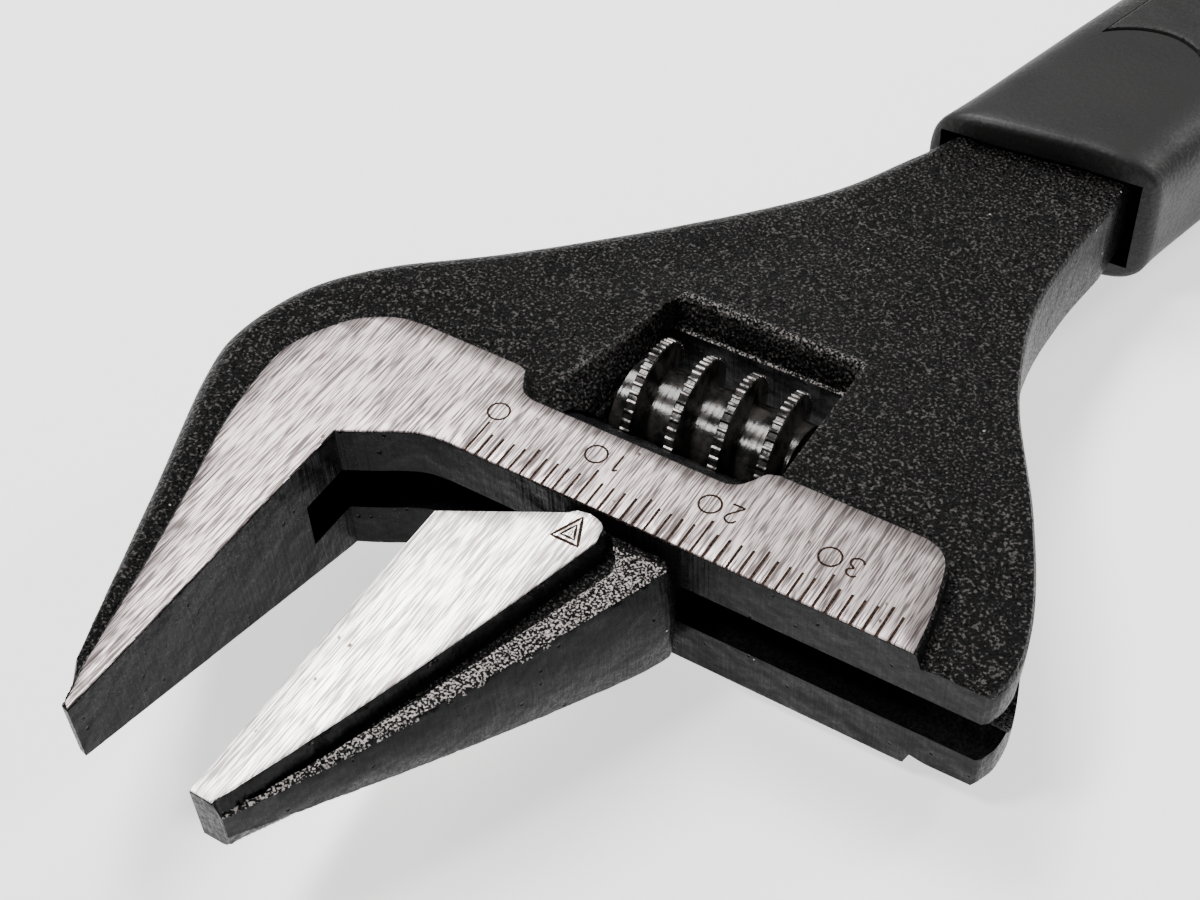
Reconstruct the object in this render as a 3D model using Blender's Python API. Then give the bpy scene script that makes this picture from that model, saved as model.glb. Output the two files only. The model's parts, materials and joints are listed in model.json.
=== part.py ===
"""Adjustable wrench, wide opening with thin jaws, 200 mm class.

Model frame: +X is the way the movable jaw opens, +Y runs from the jaws towards
the handle and +Z comes out of the face with the scale. Shapes are drawn with
X = 0 on the fixed jaw's gripping face, Y = 0 on the head's front edge and Z = 0
on the head's middle plane. The empty "wrench_frame" then moves everything so
that the origin is the middle of the fixed jaw's gripping face.
"""

import math

import bmesh
import bpy
from mathutils import Vector

MM = 0.001
FIT = 0.3 * MM                      # clearance between pieces that touch or run

# Head and fixed jaw
HEAD_THICKNESS = 13.7 * MM
PLATE_RISE = 1.2 * MM               # polished plates stand this proud of the forging
JAW_TIP_Y = -33.8 * MM              # tip of the fixed jaw, from the head's front edge
JAW_TAPER = 0.26                    # rise of the jaws' underside per length
THROAT_Y = -3.4 * MM                # where the gripping face meets the throat
GRIP_FACE_MIDDLE_Y = -18.0 * MM
HEAD_RIGHT_X = 53.9 * MM
SLOT_WIDTH = 4.5 * MM
SLOT_LEFT_X = -4.0 * MM
SLOT_NOTCH_Y = -8.0 * MM            # where the slot runs out in the gripping face
BORE_Y = 7.5 * MM
BORE_RADIUS = 4.7 * MM
BORE_LEFT_X = -10.5 * MM

# Movable jaw, at the opening of the rest pose
OPENING_AT_REST = 11.5 * MM
MOVABLE_TIP_Y = -34.4 * MM
CHAMFER_START_Y = -6.1 * MM
CHAMFER_WIDTH = 8.7 * MM
CHAMFER_END_Y = -1.2 * MM
JAW_BASE_WIDTH = 17.5 * MM          # gripping face to the outer side, at the head
JAW_TIP_WIDTH = 2.5 * MM
JAW_PLATE_BASE_WIDTH = 12.8 * MM    # the same across the polished plate
JAW_PLATE_TIP_WIDTH = 2.0 * MM
JAW_CAST_DROP = 1.5 * MM            # the blade's cast side strip lies this far below the plate
SHANK_RADIUS = BORE_RADIUS - FIT
SHANK_LEFT = 10.0 * MM              # shank end to the left of the gripping face
SHANK_RIGHT = 20.0 * MM             # shank end to the right of the gripping face

# Worm, its pin, its spring and its window
WORM_Y = 16.0 * MM
WORM_RADIUS = 6.3 * MM
WORM_ROOT_RADIUS = 4.2 * MM
WORM_PITCH = 4.0 * MM
WORM_LENGTH = 15.5 * MM
CREST_WIDTH = 1.2 * MM
CREST_BASE_WIDTH = 2.0 * MM
CREST_AT_TOP_X = 17.0 * MM          # a crest's middle on the +Z side, at rest
WINDOW_LEFT_X = 14.8 * MM
WINDOW_END_PLAY = 0.4 * MM          # gap at the spring's end of the worm
WINDOW_FRONT_GAP = 0.7 * MM         # worm to the window's front and back edges
WINDOW_BACK_GAP = 1.0 * MM
RELIEF_DEPTH = 4.2 * MM             # depth of the relief round the window
PIN_RADIUS = 2.0 * MM
PIN_LEFT_X = -6.4 * MM
PIN_SEAT = 3.5 * MM                 # length that the pin goes into the right wall
PIN_SLOT = 0.8 * MM
SPRING_POCKET_RADIUS = 3.45 * MM
SPRING_POCKET_DEPTH = 3.9 * MM
SPRING_WIRE = 0.7 * MM
SPRING_TURNS = 3

# Neck, tang and grip, along the handle's own axis
HANDLE_LEAN = math.radians(15.0)
HANDLE_ROOT = Vector((33.6 * MM, 57.0 * MM))
NECK_THICKNESS = 8.7 * MM
TANG_LENGTH = 72.0 * MM
GRIP_LENGTH = 118.0 * MM
GRIP_FRONT = 0.4 * MM               # the sleeve's front edge, before the handle root
GRIP_FRONT_THICKNESS = 14.3 * MM
GRIP_THICKNESS = 15.6 * MM
INLAY_START = 16.5 * MM
INLAY_END = 86.0 * MM
INLAY_WIDTH = 12.0 * MM
INLAY_DEPTH = 1.4 * MM
INLAY_RISE = 0.4 * MM
HANG_HOLE_AT = 103.0 * MM
HANG_HOLE_LENGTH = 14.0 * MM
HANG_HOLE_WIDTH = 8.5 * MM

# Worked out from the sizes above
HALF_HEAD = HEAD_THICKNESS / 2
HALF_FORGING = HALF_HEAD - PLATE_RISE
HALF_NECK = NECK_THICKNESS / 2
WINDOW_LENGTH = WORM_LENGTH + WINDOW_END_PLAY + FIT
WINDOW_FRONT_Y = WORM_Y - WORM_RADIUS - WINDOW_FRONT_GAP
WINDOW_BACK_Y = WORM_Y + WORM_RADIUS + WINDOW_BACK_GAP
WORM_LEFT_X = WINDOW_LEFT_X + WINDOW_END_PLAY
FAR = 100 * MM                      # reach of a cutter that runs out of the part


# Colour, roughness and metallic value of each finish
FINISHES = {
    "forged_black": ((0.018, 0.018, 0.018), 0.5, 0.6),
    "jaw_steel": ((0.55, 0.53, 0.51), 0.35, 1.0),
    "worm_black": ((0.03, 0.028, 0.027), 0.3, 0.9),
    "pin_steel": ((0.45, 0.45, 0.45), 0.4, 1.0),
    "spring_steel": ((0.35, 0.35, 0.36), 0.35, 1.0),
    "grip_plastic": ((0.015, 0.015, 0.015), 0.55, 0.0),
    "grip_rubber": ((0.01, 0.01, 0.01), 0.8, 0.0),
}


def clear_scene():
    """Remove the objects that are in the file."""
    for old in list(bpy.data.objects):
        bpy.data.objects.remove(old, do_unlink=True)


def finish(name):
    """Return the material with this finish's colour, roughness and metallic value."""
    material = bpy.data.materials.get(name) or bpy.data.materials.new(name)
    material.use_nodes = True
    colour, roughness, metallic = FINISHES[name]
    shader = material.node_tree.nodes["Principled BSDF"]
    shader.inputs["Base Color"].default_value = (*colour, 1.0)
    shader.inputs["Roughness"].default_value = roughness
    shader.inputs["Metallic"].default_value = metallic
    material.diffuse_color = (*colour, 1.0)
    return material


def wrench_frame():
    """Return the empty that carries the whole wrench, made on first use."""
    frame = bpy.data.objects.get("wrench_frame")
    if frame is None:
        frame = bpy.data.objects.new("wrench_frame", None)
        bpy.context.collection.objects.link(frame)
        frame.location = (0, -GRIP_FACE_MIDDLE_Y, 0)
    return frame


def add_object(name, bm, origin=(0, 0, 0), material=None):
    """Turn a bmesh into an object whose origin is the given point of the model frame."""
    bmesh.ops.recalc_face_normals(bm, faces=bm.faces)
    bmesh.ops.translate(bm, vec=-Vector(origin), verts=bm.verts)
    mesh = bpy.data.meshes.new(name)
    bm.to_mesh(mesh)
    bm.free()
    piece = bpy.data.objects.new(name, mesh)
    bpy.context.collection.objects.link(piece)
    piece.location = origin
    piece.parent = wrench_frame()
    if material:
        mesh.materials.append(finish(material))
    return piece


def prism_mesh(outline, low, high):
    """Return a bmesh prism of an XY outline, which goes round anticlockwise."""
    bm = bmesh.new()
    rings = [[bm.verts.new((x, y, z)) for x, y in outline] for z in (low, high)]
    bm.faces.new(reversed(rings[0]))
    bm.faces.new(rings[1])
    for i in range(len(outline)):
        j = (i + 1) % len(outline)
        bm.faces.new((rings[0][i], rings[0][j], rings[1][j], rings[1][i]))
    return bm


def frustum_mesh(low_outline, low, high_outline, high):
    """Return a bmesh between two outlines with the same number of points."""
    bm = prism_mesh(low_outline, low, high)
    count = len(low_outline)
    bm.verts.ensure_lookup_table()
    for vert, (x, y) in zip(bm.verts[count:], high_outline):
        vert.co.x, vert.co.y = x, y
    return bm


def rod_mesh(radius, x_start, x_end, y, z=0.0, sides=32):
    """Return a bmesh rod along X."""
    ring = [(radius * math.cos(2 * math.pi * i / sides), radius * math.sin(2 * math.pi * i / sides))
            for i in range(sides)]
    bm = prism_mesh(ring, x_start, x_end)
    for vert in bm.verts:
        across, up, along = vert.co
        vert.co = (along, y + across, z + up)
    return bm


def box_mesh(low, high):
    """Return a bmesh box between two corners."""
    outline = [(low[0], low[1]), (high[0], low[1]), (high[0], high[1]), (low[0], high[1])]
    return prism_mesh(outline, low[2], high[2])


def smooth_curve(points, steps=4):
    """Return points along a Catmull-Rom curve through the given points."""
    ends = [2 * points[0] - points[1]] + points + [2 * points[-1] - points[-2]]
    curve = []
    for a, b, c, d in zip(ends, ends[1:], ends[2:], ends[3:]):
        for step in range(steps):
            t = step / steps
            curve.append(0.5 * (2 * b + (c - a) * t + (2 * a - 5 * b + 4 * c - d) * t ** 2
                                + (3 * b - a - 3 * c + d) * t ** 3))
    return curve + [points[-1]]


def points_mm(*pairs):
    """Return 2-D vectors in metres from pairs in millimetres."""
    return [Vector(pair) * MM for pair in pairs]


def arc(centre, radius, start, end, steps):
    """Return points on an arc, with the angles in degrees."""
    turns = [math.radians(start + (end - start) * i / steps) for i in range(steps + 1)]
    return [Vector((centre[0] + radius * math.cos(a), centre[1] + radius * math.sin(a))) for a in turns]


def handle_point(along, across):
    """Return the XY point at a distance along the handle's axis and to its right."""
    lean = Vector((math.sin(HANDLE_LEAN), math.cos(HANDLE_LEAN)))
    right = Vector((math.cos(HANDLE_LEAN), -math.sin(HANDLE_LEAN)))
    return HANDLE_ROOT + lean * along + right * across


def handle_distance(x, y):
    """Return how far along the handle's axis an XY point lies."""
    offset = Vector((x, y)) - HANDLE_ROOT
    return offset.x * math.sin(HANDLE_LEAN) + offset.y * math.cos(HANDLE_LEAN)


def between(stations, value):
    """Read a value off straight lines between the stations, given as (place, value)."""
    if value <= stations[0][0]:
        return stations[0][1]
    for (a, low), (b, high) in zip(stations, stations[1:]):
        if value <= b:
            return low + (high - low) * (value - a) / (b - a)
    return stations[-1][1]


def shape_faces(bm, top, bottom, direction, place):
    """Slice a prism at every station and move its two faces to the stations' heights."""
    for distance in sorted({station[0] for station in top + bottom}):
        geometry = bm.verts[:] + bm.edges[:] + bm.faces[:]
        point = direction * distance + place
        bmesh.ops.bisect_plane(bm, geom=geometry, plane_co=point, plane_no=direction, dist=1e-7)
    for vert in bm.verts:
        distance = (vert.co - place).dot(direction)
        vert.co.z = between(top, distance) if vert.co.z > 0 else between(bottom, distance)


def add_cutter(name, bm):
    """Add a hidden wire object that cuts other pieces."""
    cutter = add_object(name, bm)
    cutter.hide_render = True
    cutter.display_type = "WIRE"
    cutter.hide_set(True)
    return cutter


def combine(piece, other, operation="DIFFERENCE"):
    """Cut another object from a piece, or join it on, with a Boolean."""
    boolean = piece.modifiers.new(f"{operation.lower()}_{other.name}", "BOOLEAN")
    boolean.operation = operation
    boolean.solver = "EXACT"
    boolean.object = other


def shade(piece, angle=35):
    """Shade a piece smooth, with sharp edges past an angle in degrees."""
    piece.data.shade_smooth()
    piece.data.set_sharp_from_angle(angle=math.radians(angle))


def forged_outline():
    """Return the outline of the head, neck and tang, past the front that is trimmed."""
    left = points_mm((-3.7, -29.4), (-10.2, -13.2), (-14.5, -2.7), (-15.4, 3.1), (-13.6, 10.1),
                     (-8.8, 16.1), (-0.95, 22.75), (8.4, 32.3), (17.85, 43.5), (23.1, 52.9))
    right = points_mm((54.5, 2.0), (54.2, 5.6), (52.6, 10.6), (49.1, 18.0), (43.9, 27.5),
                      (40.8, 37.5), (40.5, 46.0), (41.2, 53.0))
    tang = [handle_point(4 * MM, 6.9 * MM), handle_point(TANG_LENGTH - 3 * MM, 5.5 * MM),
            handle_point(TANG_LENGTH, 3 * MM), handle_point(TANG_LENGTH, -3 * MM),
            handle_point(TANG_LENGTH - 3 * MM, -5.5 * MM), handle_point(4 * MM, -6.9 * MM)]
    tip = [Vector((-0.9 * MM, JAW_TIP_Y + 0.6 * MM)), Vector((0, JAW_TIP_Y))]
    trimmed = [Vector((3 * MM, JAW_TIP_Y)), Vector((3 * MM, -6 * MM)), Vector((HEAD_RIGHT_X, -6 * MM)),
               Vector((HEAD_RIGHT_X, 0))]
    return trimmed + smooth_curve(right) + tang + smooth_curve(left)[::-1] + tip


def plate_outline():
    """Return the outline of a polished plate, past the front that is trimmed."""
    outer = points_mm((-1.9, -30.0), (-4.0, -21.5), (-6.2, -13.6), (-8.3, -6.6), (-9.3, 0.5), (-8.6, 3.8),
                      (-6.4, 7.4), (-3.4, 9.4), (-0.6, 9.9))
    behind = points_mm((9.4, 9.9), (10.0, 8.3), (11.4, 7.2), (28.9, 7.2), (30.3, 8.2), (31.0, 9.5),
                       (32.0, 9.9), (44.2, 9.9), (46.0, 9.1), (46.9, 7.2), (47.7, 3.5), (48.2, -1.0))
    tip = [Vector((-0.9 * MM, JAW_TIP_Y + 0.6 * MM)), Vector((0, JAW_TIP_Y))]
    trimmed = [Vector((3 * MM, JAW_TIP_Y)), Vector((3 * MM, -6 * MM)), Vector((48.2 * MM, -6 * MM))]
    return trimmed + behind[::-1] + smooth_curve(outer, 3)[::-1] + tip


def front_outline():
    """Return what is cleared in front of the fixed jaw, the throat and the head."""
    throat = points_mm((4.5, -0.9), (6.0, -0.3), (8.0, 0.0))
    return [Vector((0, -FAR)), Vector((FAR, -FAR)), Vector((FAR, 0))] + throat[::-1] + [Vector((0, THROAT_Y))]


def underside(flat, y_tip):
    """Return stations for an underside that is flat at the head and rises to the tip."""
    tip_height = flat + JAW_TAPER * (THROAT_Y - y_tip)
    return [(y_tip - 1 * MM, tip_height), (THROAT_Y, flat)]


def cut_body(body):
    """Cut the slot, the shank's bore, the worm's window and the pin's hole."""
    half_slot = SLOT_WIDTH / 2
    notch = smooth_curve([Vector((SLOT_LEFT_X, -3 * MM)), Vector((-2.6 * MM, -6 * MM)),
                          Vector((0, SLOT_NOTCH_Y)), Vector((3 * MM, SLOT_NOTCH_Y - 1 * MM))], 3)
    slot = notch + [Vector((FAR, SLOT_NOTCH_Y)), Vector((FAR, BORE_Y)), Vector((SLOT_LEFT_X, BORE_Y))]
    combine(body, add_cutter("cut_slot", prism_mesh(slot, -half_slot, half_slot)))
    combine(body, add_cutter("cut_bore", rod_mesh(BORE_RADIUS, BORE_LEFT_X, FAR, BORE_Y)))
    window_right = WINDOW_LEFT_X + WINDOW_LENGTH
    window = [Vector((WINDOW_LEFT_X, WINDOW_FRONT_Y)), Vector((window_right, WINDOW_FRONT_Y)),
              Vector((window_right, WINDOW_BACK_Y)), Vector((WINDOW_LEFT_X, WINDOW_BACK_Y))]
    combine(body, add_cutter("cut_window", prism_mesh(window, -FAR, FAR)))
    flare = points_mm((-4.0, -1.6), (0.6, -1.6), (0.6, 1.5), (0.2, 1.5))
    mouth = [corner + spread for corner, spread in zip(window, flare)]
    for side in (1, -1):
        floor, rim = side * (HALF_HEAD - RELIEF_DEPTH), side * (HALF_HEAD + 0.1 * MM)
        bm = frustum_mesh(window, floor, mouth, rim)
        combine(body, add_cutter(f"cut_relief_{'top' if side > 0 else 'bottom'}", bm))
    hole_end = window_right + PIN_SEAT + FIT
    combine(body, add_cutter("cut_pin_hole", rod_mesh(PIN_RADIUS + FIT, -FAR, hole_end, WORM_Y, sides=20)))


def build_body():
    """Build the forged body: head, fixed jaw, neck and tang in one piece."""
    forging = prism_mesh(forged_outline(), -HALF_FORGING, HALF_FORGING)
    neck = [(14 * MM, HALF_FORGING), (24 * MM, HALF_NECK + 0.9 * MM), (34 * MM, HALF_NECK + 0.35 * MM),
            (46 * MM, HALF_NECK)]
    below = underside(-HALF_FORGING, JAW_TIP_Y) + [(y, -height) for y, height in neck]
    along = Vector((0, 1, 0))
    shape_faces(forging, neck, below, along, Vector())
    body = add_object("body", forging, material="forged_black")
    top = add_cutter("plate_top", prism_mesh(plate_outline(), HALF_FORGING - 1 * MM, HALF_HEAD))
    bm = prism_mesh(plate_outline(), -1 * MM, 1 * MM)
    low, high = underside(-HALF_HEAD, JAW_TIP_Y), underside(1.5 * MM - HALF_HEAD, JAW_TIP_Y)
    shape_faces(bm, high, low, along, Vector())
    bottom = add_cutter("plate_bottom", bm)
    combine(body, top, "UNION")
    combine(body, bottom, "UNION")
    combine(body, add_cutter("cut_front", prism_mesh(front_outline(), -FAR, FAR)))
    cut_body(body)
    return body


def thread_mesh(start, end, grow):
    """Return a bmesh right-hand thread between two X places, grown by a clearance.

    The profile is root, flank, crest and flank. It turns once for each pitch, and
    the two ends are closed with a cap.
    """
    steps = 24
    radius, root = WORM_RADIUS + grow, WORM_ROOT_RADIUS + grow
    crest, base = CREST_WIDTH / 2 + grow, CREST_BASE_WIDTH / 2 + grow
    profile = [(-WORM_PITCH / 2, root), (-base, root), (-crest, radius), (crest, radius), (base, root)]
    turns = math.ceil((end - start) / WORM_PITCH) + 3
    first = CREST_AT_TOP_X + WORM_PITCH * math.floor((start - CREST_AT_TOP_X) / WORM_PITCH - 1)
    bm = bmesh.new()
    rings = []
    for i in range(turns * steps + 1):
        angle = 2 * math.pi * i / steps + math.pi / 2
        shift = first + WORM_PITCH * i / steps
        rings.append([bm.verts.new((shift + dx, r * math.cos(angle), r * math.sin(angle)))
                      for dx, r in profile])
    for ring, after in zip(rings, rings[1:]):
        for a in range(len(profile) - 1):
            bm.faces.new((ring[a], ring[a + 1], after[a + 1], after[a]))
    for i in range(len(rings) - steps - 1):
        bm.faces.new((rings[i][-1], rings[i + steps][0], rings[i + steps + 1][0], rings[i + 1][-1]))
    close_ends(bm)
    bmesh.ops.translate(bm, vec=(0, WORM_Y, 0), verts=bm.verts)
    return bm


def close_ends(bm):
    """Close the open loops at the two ends of a thread with a fan to a middle point."""
    loops = [edge for edge in bm.edges if edge.is_boundary]
    middle_x = sum(vert.co.x for edge in loops for vert in edge.verts) / (2 * len(loops))
    for side in (-1, 1):
        edges = [edge for edge in loops if side * (edge.verts[0].co.x - middle_x) > 0]
        x = sum(edge.verts[0].co.x for edge in edges) / len(edges)
        hub = bm.verts.new((x, 0, 0))
        for edge in edges:
            bm.faces.new((edge.verts[0], edge.verts[1], hub))


def build_worm():
    """Build the knurled worm, with its pin's bore and a pocket for the spring."""
    end = WORM_LEFT_X + WORM_LENGTH
    thread = thread_mesh(WORM_LEFT_X, end, 0)
    axis = (WORM_LEFT_X, WORM_Y, 0)
    worm = add_object("worm", thread, axis, "worm_black")
    blank = add_cutter("worm_blank", rod_mesh(WORM_RADIUS + 1 * MM, WORM_LEFT_X, end, WORM_Y, sides=24))
    combine(worm, blank, "INTERSECT")
    hole = rod_mesh(PIN_RADIUS + FIT, -FAR, FAR, WORM_Y, sides=24)
    combine(worm, add_cutter("worm_hole", hole))
    pocket_end = WORM_LEFT_X + SPRING_POCKET_DEPTH
    pocket = rod_mesh(SPRING_POCKET_RADIUS, WORM_LEFT_X - 5 * MM, pocket_end, WORM_Y, sides=24)
    combine(worm, add_cutter("worm_pocket", pocket))
    shade(worm)
    return worm


def build_pin():
    """Build the screw pin that the worm turns on, with a slot in its outer end."""
    end = WINDOW_LEFT_X + WINDOW_LENGTH + PIN_SEAT
    bm = rod_mesh(PIN_RADIUS, PIN_LEFT_X, end, WORM_Y, sides=20)
    pin = add_object("worm_pin", bm, (PIN_LEFT_X, WORM_Y, 0), "pin_steel")
    slot = box_mesh((PIN_LEFT_X - 1 * MM, WORM_Y - 5 * MM, -PIN_SLOT / 2),
                    (PIN_LEFT_X + 1 * MM, WORM_Y + 5 * MM, PIN_SLOT / 2))
    combine(pin, add_cutter("pin_slot", slot))
    shade(pin)
    return pin


def build_spring():
    """Build the spring round the pin that keeps the worm from rattling."""
    start = WINDOW_LEFT_X + FIT + SPRING_WIRE / 2
    end = WORM_LEFT_X + SPRING_POCKET_DEPTH - FIT - SPRING_WIRE / 2
    coil = (PIN_RADIUS + SPRING_POCKET_RADIUS) / 2
    steps, sides = 14, 6
    total = SPRING_TURNS * steps
    bm = bmesh.new()
    rings = []
    for i in range(total + 1):
        angle = 2 * math.pi * i / steps
        centre = Vector((start + (end - start) * i / total, coil * math.cos(angle), coil * math.sin(angle)))
        outward = Vector((0, math.cos(angle), math.sin(angle)))
        ring = []
        for side in range(sides):
            turn = 2 * math.pi * side / sides
            offset = (Vector((1, 0, 0)) * math.cos(turn) + outward * math.sin(turn)) * SPRING_WIRE / 2
            ring.append(bm.verts.new(centre + offset + Vector((0, WORM_Y, 0))))
        rings.append(ring)
    for ring, after in zip(rings, rings[1:]):
        for side in range(sides):
            near = (side + 1) % sides
            bm.faces.new((ring[side], ring[near], after[near], after[side]))
    bm.faces.new(rings[0])
    bm.faces.new(rings[-1])
    spring = add_object("worm_spring", bm, (start, WORM_Y, 0), "spring_steel")
    shade(spring, 60)
    return spring


def blade_outline(base_width, tip_width, belly):
    """Return an outline of the movable jaw's blade with the given widths and side curve.

    The belly is how far the side bows out between the base and the tip.
    """
    face = OPENING_AT_REST
    base_y = -1.5 * MM
    side = []
    for step in range(9):
        share = step / 8
        bow = belly * 4 * share * (1 - share)
        width = tip_width + (base_width - tip_width) * share + bow
        side.append(Vector((face + width, MOVABLE_TIP_Y + (base_y - MOVABLE_TIP_Y) * share)))
    return [Vector((face, MOVABLE_TIP_Y))] + side + [
        Vector((face + base_width, -FIT)), Vector((face + CHAMFER_WIDTH + 1.2 * MM, -FIT)),
        Vector((face + CHAMFER_WIDTH, CHAMFER_END_Y)), Vector((face, CHAMFER_START_Y))]


def build_movable_jaw():
    """Build the movable jaw: its blade, web, shank and the rack cut in the shank."""
    face = OPENING_AT_REST
    along = Vector((0, 1, 0))
    blade = prism_mesh(blade_outline(JAW_BASE_WIDTH, JAW_TIP_WIDTH, 0.6 * MM), -1 * MM, 1 * MM)
    cast_top = [(MOVABLE_TIP_Y, HALF_HEAD - JAW_CAST_DROP)]
    cast_bottom = underside(JAW_CAST_DROP - HALF_HEAD, MOVABLE_TIP_Y)
    shape_faces(blade, cast_top, cast_bottom, along, Vector())
    jaw = add_object("movable_jaw", blade, (face, BORE_Y, 0), "jaw_steel")
    plate = blade_outline(JAW_PLATE_BASE_WIDTH, JAW_PLATE_TIP_WIDTH, 0.4 * MM)
    polished = prism_mesh(plate, -1 * MM, 1 * MM)
    shape_faces(polished, [(MOVABLE_TIP_Y, HALF_HEAD)], underside(-HALF_HEAD, MOVABLE_TIP_Y), along, Vector())
    combine(jaw, add_cutter("jaw_plate", polished), "UNION")
    half_web = SLOT_WIDTH / 2 - FIT
    web = box_mesh((face + CHAMFER_WIDTH - 3 * MM, -3 * MM, -half_web),
                   (face + JAW_BASE_WIDTH - 1 * MM, BORE_Y, half_web))
    combine(jaw, add_cutter("jaw_web", web), "UNION")
    shank = rod_mesh(SHANK_RADIUS, face - SHANK_LEFT, face + SHANK_RIGHT, BORE_Y, sides=28)
    combine(jaw, add_cutter("jaw_shank", shank), "UNION")
    rack = thread_mesh(face - SHANK_LEFT - WORM_PITCH, face + SHANK_RIGHT + WORM_PITCH, FIT)
    combine(jaw, add_cutter("rack_teeth", rack))
    return jaw


def grip_outline():
    """Return the sleeve's outline, from the right of its front edge anticlockwise."""
    half = [(0.0, 10.4), (6.0, 10.1), (22.0, 10.2), (50.0, 10.6), (82.0, 11.4), (102.0, 11.5), (112.0, 9.2)]
    scale = GRIP_LENGTH / (118.0 * MM)
    right = [handle_point(s * MM * scale, t * MM) for s, t in half]
    left = [handle_point(s * MM * scale, -t * MM) for s, t in half]
    end = [handle_point(GRIP_LENGTH - 1.2 * MM, 5 * MM), handle_point(GRIP_LENGTH, 0),
           handle_point(GRIP_LENGTH - 1.2 * MM, -5 * MM)]
    front_y = HANDLE_ROOT.y - GRIP_FRONT
    front = [Vector((left[0].x, front_y)), Vector((right[0].x, front_y))]
    return front + smooth_curve(right + end + left[::-1], 3)[1:-1]


def grip_stations(rise):
    """Return the sleeve's half thickness along the handle, raised by an amount."""
    front, full = GRIP_FRONT_THICKNESS / 2 + rise, GRIP_THICKNESS / 2 + rise
    return [(0.0, front), (20 * MM, front), (45 * MM, full), (GRIP_LENGTH - 25 * MM, full),
            (GRIP_LENGTH, full - 1.6 * MM)]


def inlay_outline(grow):
    """Return the soft inlay's outline, grown by a gap: square at its front end, round at its back."""
    half = INLAY_WIDTH / 2 + grow
    front = [handle_point(INLAY_START - grow, -half), handle_point(INLAY_START - grow, half)]
    back_centre = INLAY_END - INLAY_WIDTH / 2
    angles = [math.radians(a) for a in (0, 30, 60, 90, 120, 150, 180)]
    back = [handle_point(back_centre + half * math.sin(a), half * math.cos(a)) for a in angles]
    return front + back


def build_inlay(name, side):
    """Build one soft inlay, on the +Z or the -Z side of the sleeve."""
    inner = GRIP_FRONT_THICKNESS / 2 - INLAY_DEPTH + FIT
    bm = prism_mesh(inlay_outline(0), -1 * MM, 1 * MM)
    lean = Vector((math.sin(HANDLE_LEAN), math.cos(HANDLE_LEAN), 0))
    shape_faces(bm, grip_stations(INLAY_RISE), [(0.0, inner)], lean, HANDLE_ROOT.to_3d())
    if side < 0:
        bmesh.ops.scale(bm, vec=(1, 1, -1), verts=bm.verts)
    return add_object(name, bm, HANDLE_ROOT.to_3d(), "grip_rubber")


def tang_pocket_outline():
    """Return the pocket in the sleeve that the neck and tang fill, with clearance."""
    gap = FIT
    mouth_y = HANDLE_ROOT.y - 10 * MM
    right = [Vector((41.7 * MM + gap, mouth_y)), Vector((42.1 * MM + gap, HANDLE_ROOT.y)),
             handle_point(4 * MM, 6.9 * MM + gap), handle_point(TANG_LENGTH - 3 * MM, 5.5 * MM + gap)]
    left = [handle_point(TANG_LENGTH - 3 * MM, -5.5 * MM - gap), handle_point(4 * MM, -6.9 * MM - gap),
            Vector((24.9 * MM - gap, HANDLE_ROOT.y)), Vector((21.0 * MM - gap, mouth_y))]
    end = [handle_point(TANG_LENGTH + gap, 3.2 * MM), handle_point(TANG_LENGTH + gap, -3.2 * MM)]
    return right + end + left


def build_grip():
    """Build the moulded sleeve with its tang pocket, hanging hole and inlay seats."""
    lean = Vector((math.sin(HANDLE_LEAN), math.cos(HANDLE_LEAN), 0))
    bm = prism_mesh(grip_outline(), -1 * MM, 1 * MM)
    above = grip_stations(0)
    below = [(s, -height) for s, height in above]
    shape_faces(bm, above, below, lean, HANDLE_ROOT.to_3d())
    sleeve = add_object("grip_sleeve", bm, HANDLE_ROOT.to_3d(), "grip_plastic")
    pocket_half = HALF_NECK + FIT
    combine(sleeve, add_cutter("tang_pocket", prism_mesh(tang_pocket_outline(), -pocket_half, pocket_half)))
    floor = GRIP_FRONT_THICKNESS / 2 - INLAY_DEPTH
    for side in (1, -1):
        low, high = sorted((side * floor, side * FAR))
        seat = prism_mesh(inlay_outline(FIT), low, high)
        combine(sleeve, add_cutter(f"inlay_seat_{'top' if side > 0 else 'bottom'}", seat))
    half = HANG_HOLE_WIDTH / 2
    reach = (HANG_HOLE_LENGTH - HANG_HOLE_WIDTH) / 2
    ends = [(angle, reach) for angle in range(0, 181, 30)] + [(angle, -reach) for angle in range(180, 361, 30)]
    hole = [handle_point(HANG_HOLE_AT + shift + half * math.sin(math.radians(angle)),
                         half * math.cos(math.radians(angle))) for angle, shift in ends]
    combine(sleeve, add_cutter("hang_hole", prism_mesh(hole, -FAR, FAR)))
    return sleeve


def main():
    """Build the whole wrench."""
    clear_scene()
    build_body()
    build_movable_jaw()
    build_worm()
    build_pin()
    build_spring()
    build_grip()
    build_inlay("grip_inlay_top", 1)
    build_inlay("grip_inlay_bottom", -1)


if __name__ == "__main__":
    main()
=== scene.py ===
"""Looks of an adjustable wrench: forged head, sliding jaw, knurled worm and moulded grip.

Shapes are drawn in millimetres on the head: X = 0 is the fixed jaw's gripping face, Y = 0 the head's front
edge and Z = 0 the head's middle plane. Bench.place() turns them into the frame's metres.
"""

from __future__ import annotations

import json
import logging
import math
from contextlib import contextmanager
from dataclasses import dataclass
from enum import Enum
from typing import Callable, Iterable, Iterator, Sequence

import bmesh
import bpy
import numpy as np
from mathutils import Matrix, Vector
from mathutils.geometry import delaunay_2d_cdt

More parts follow.
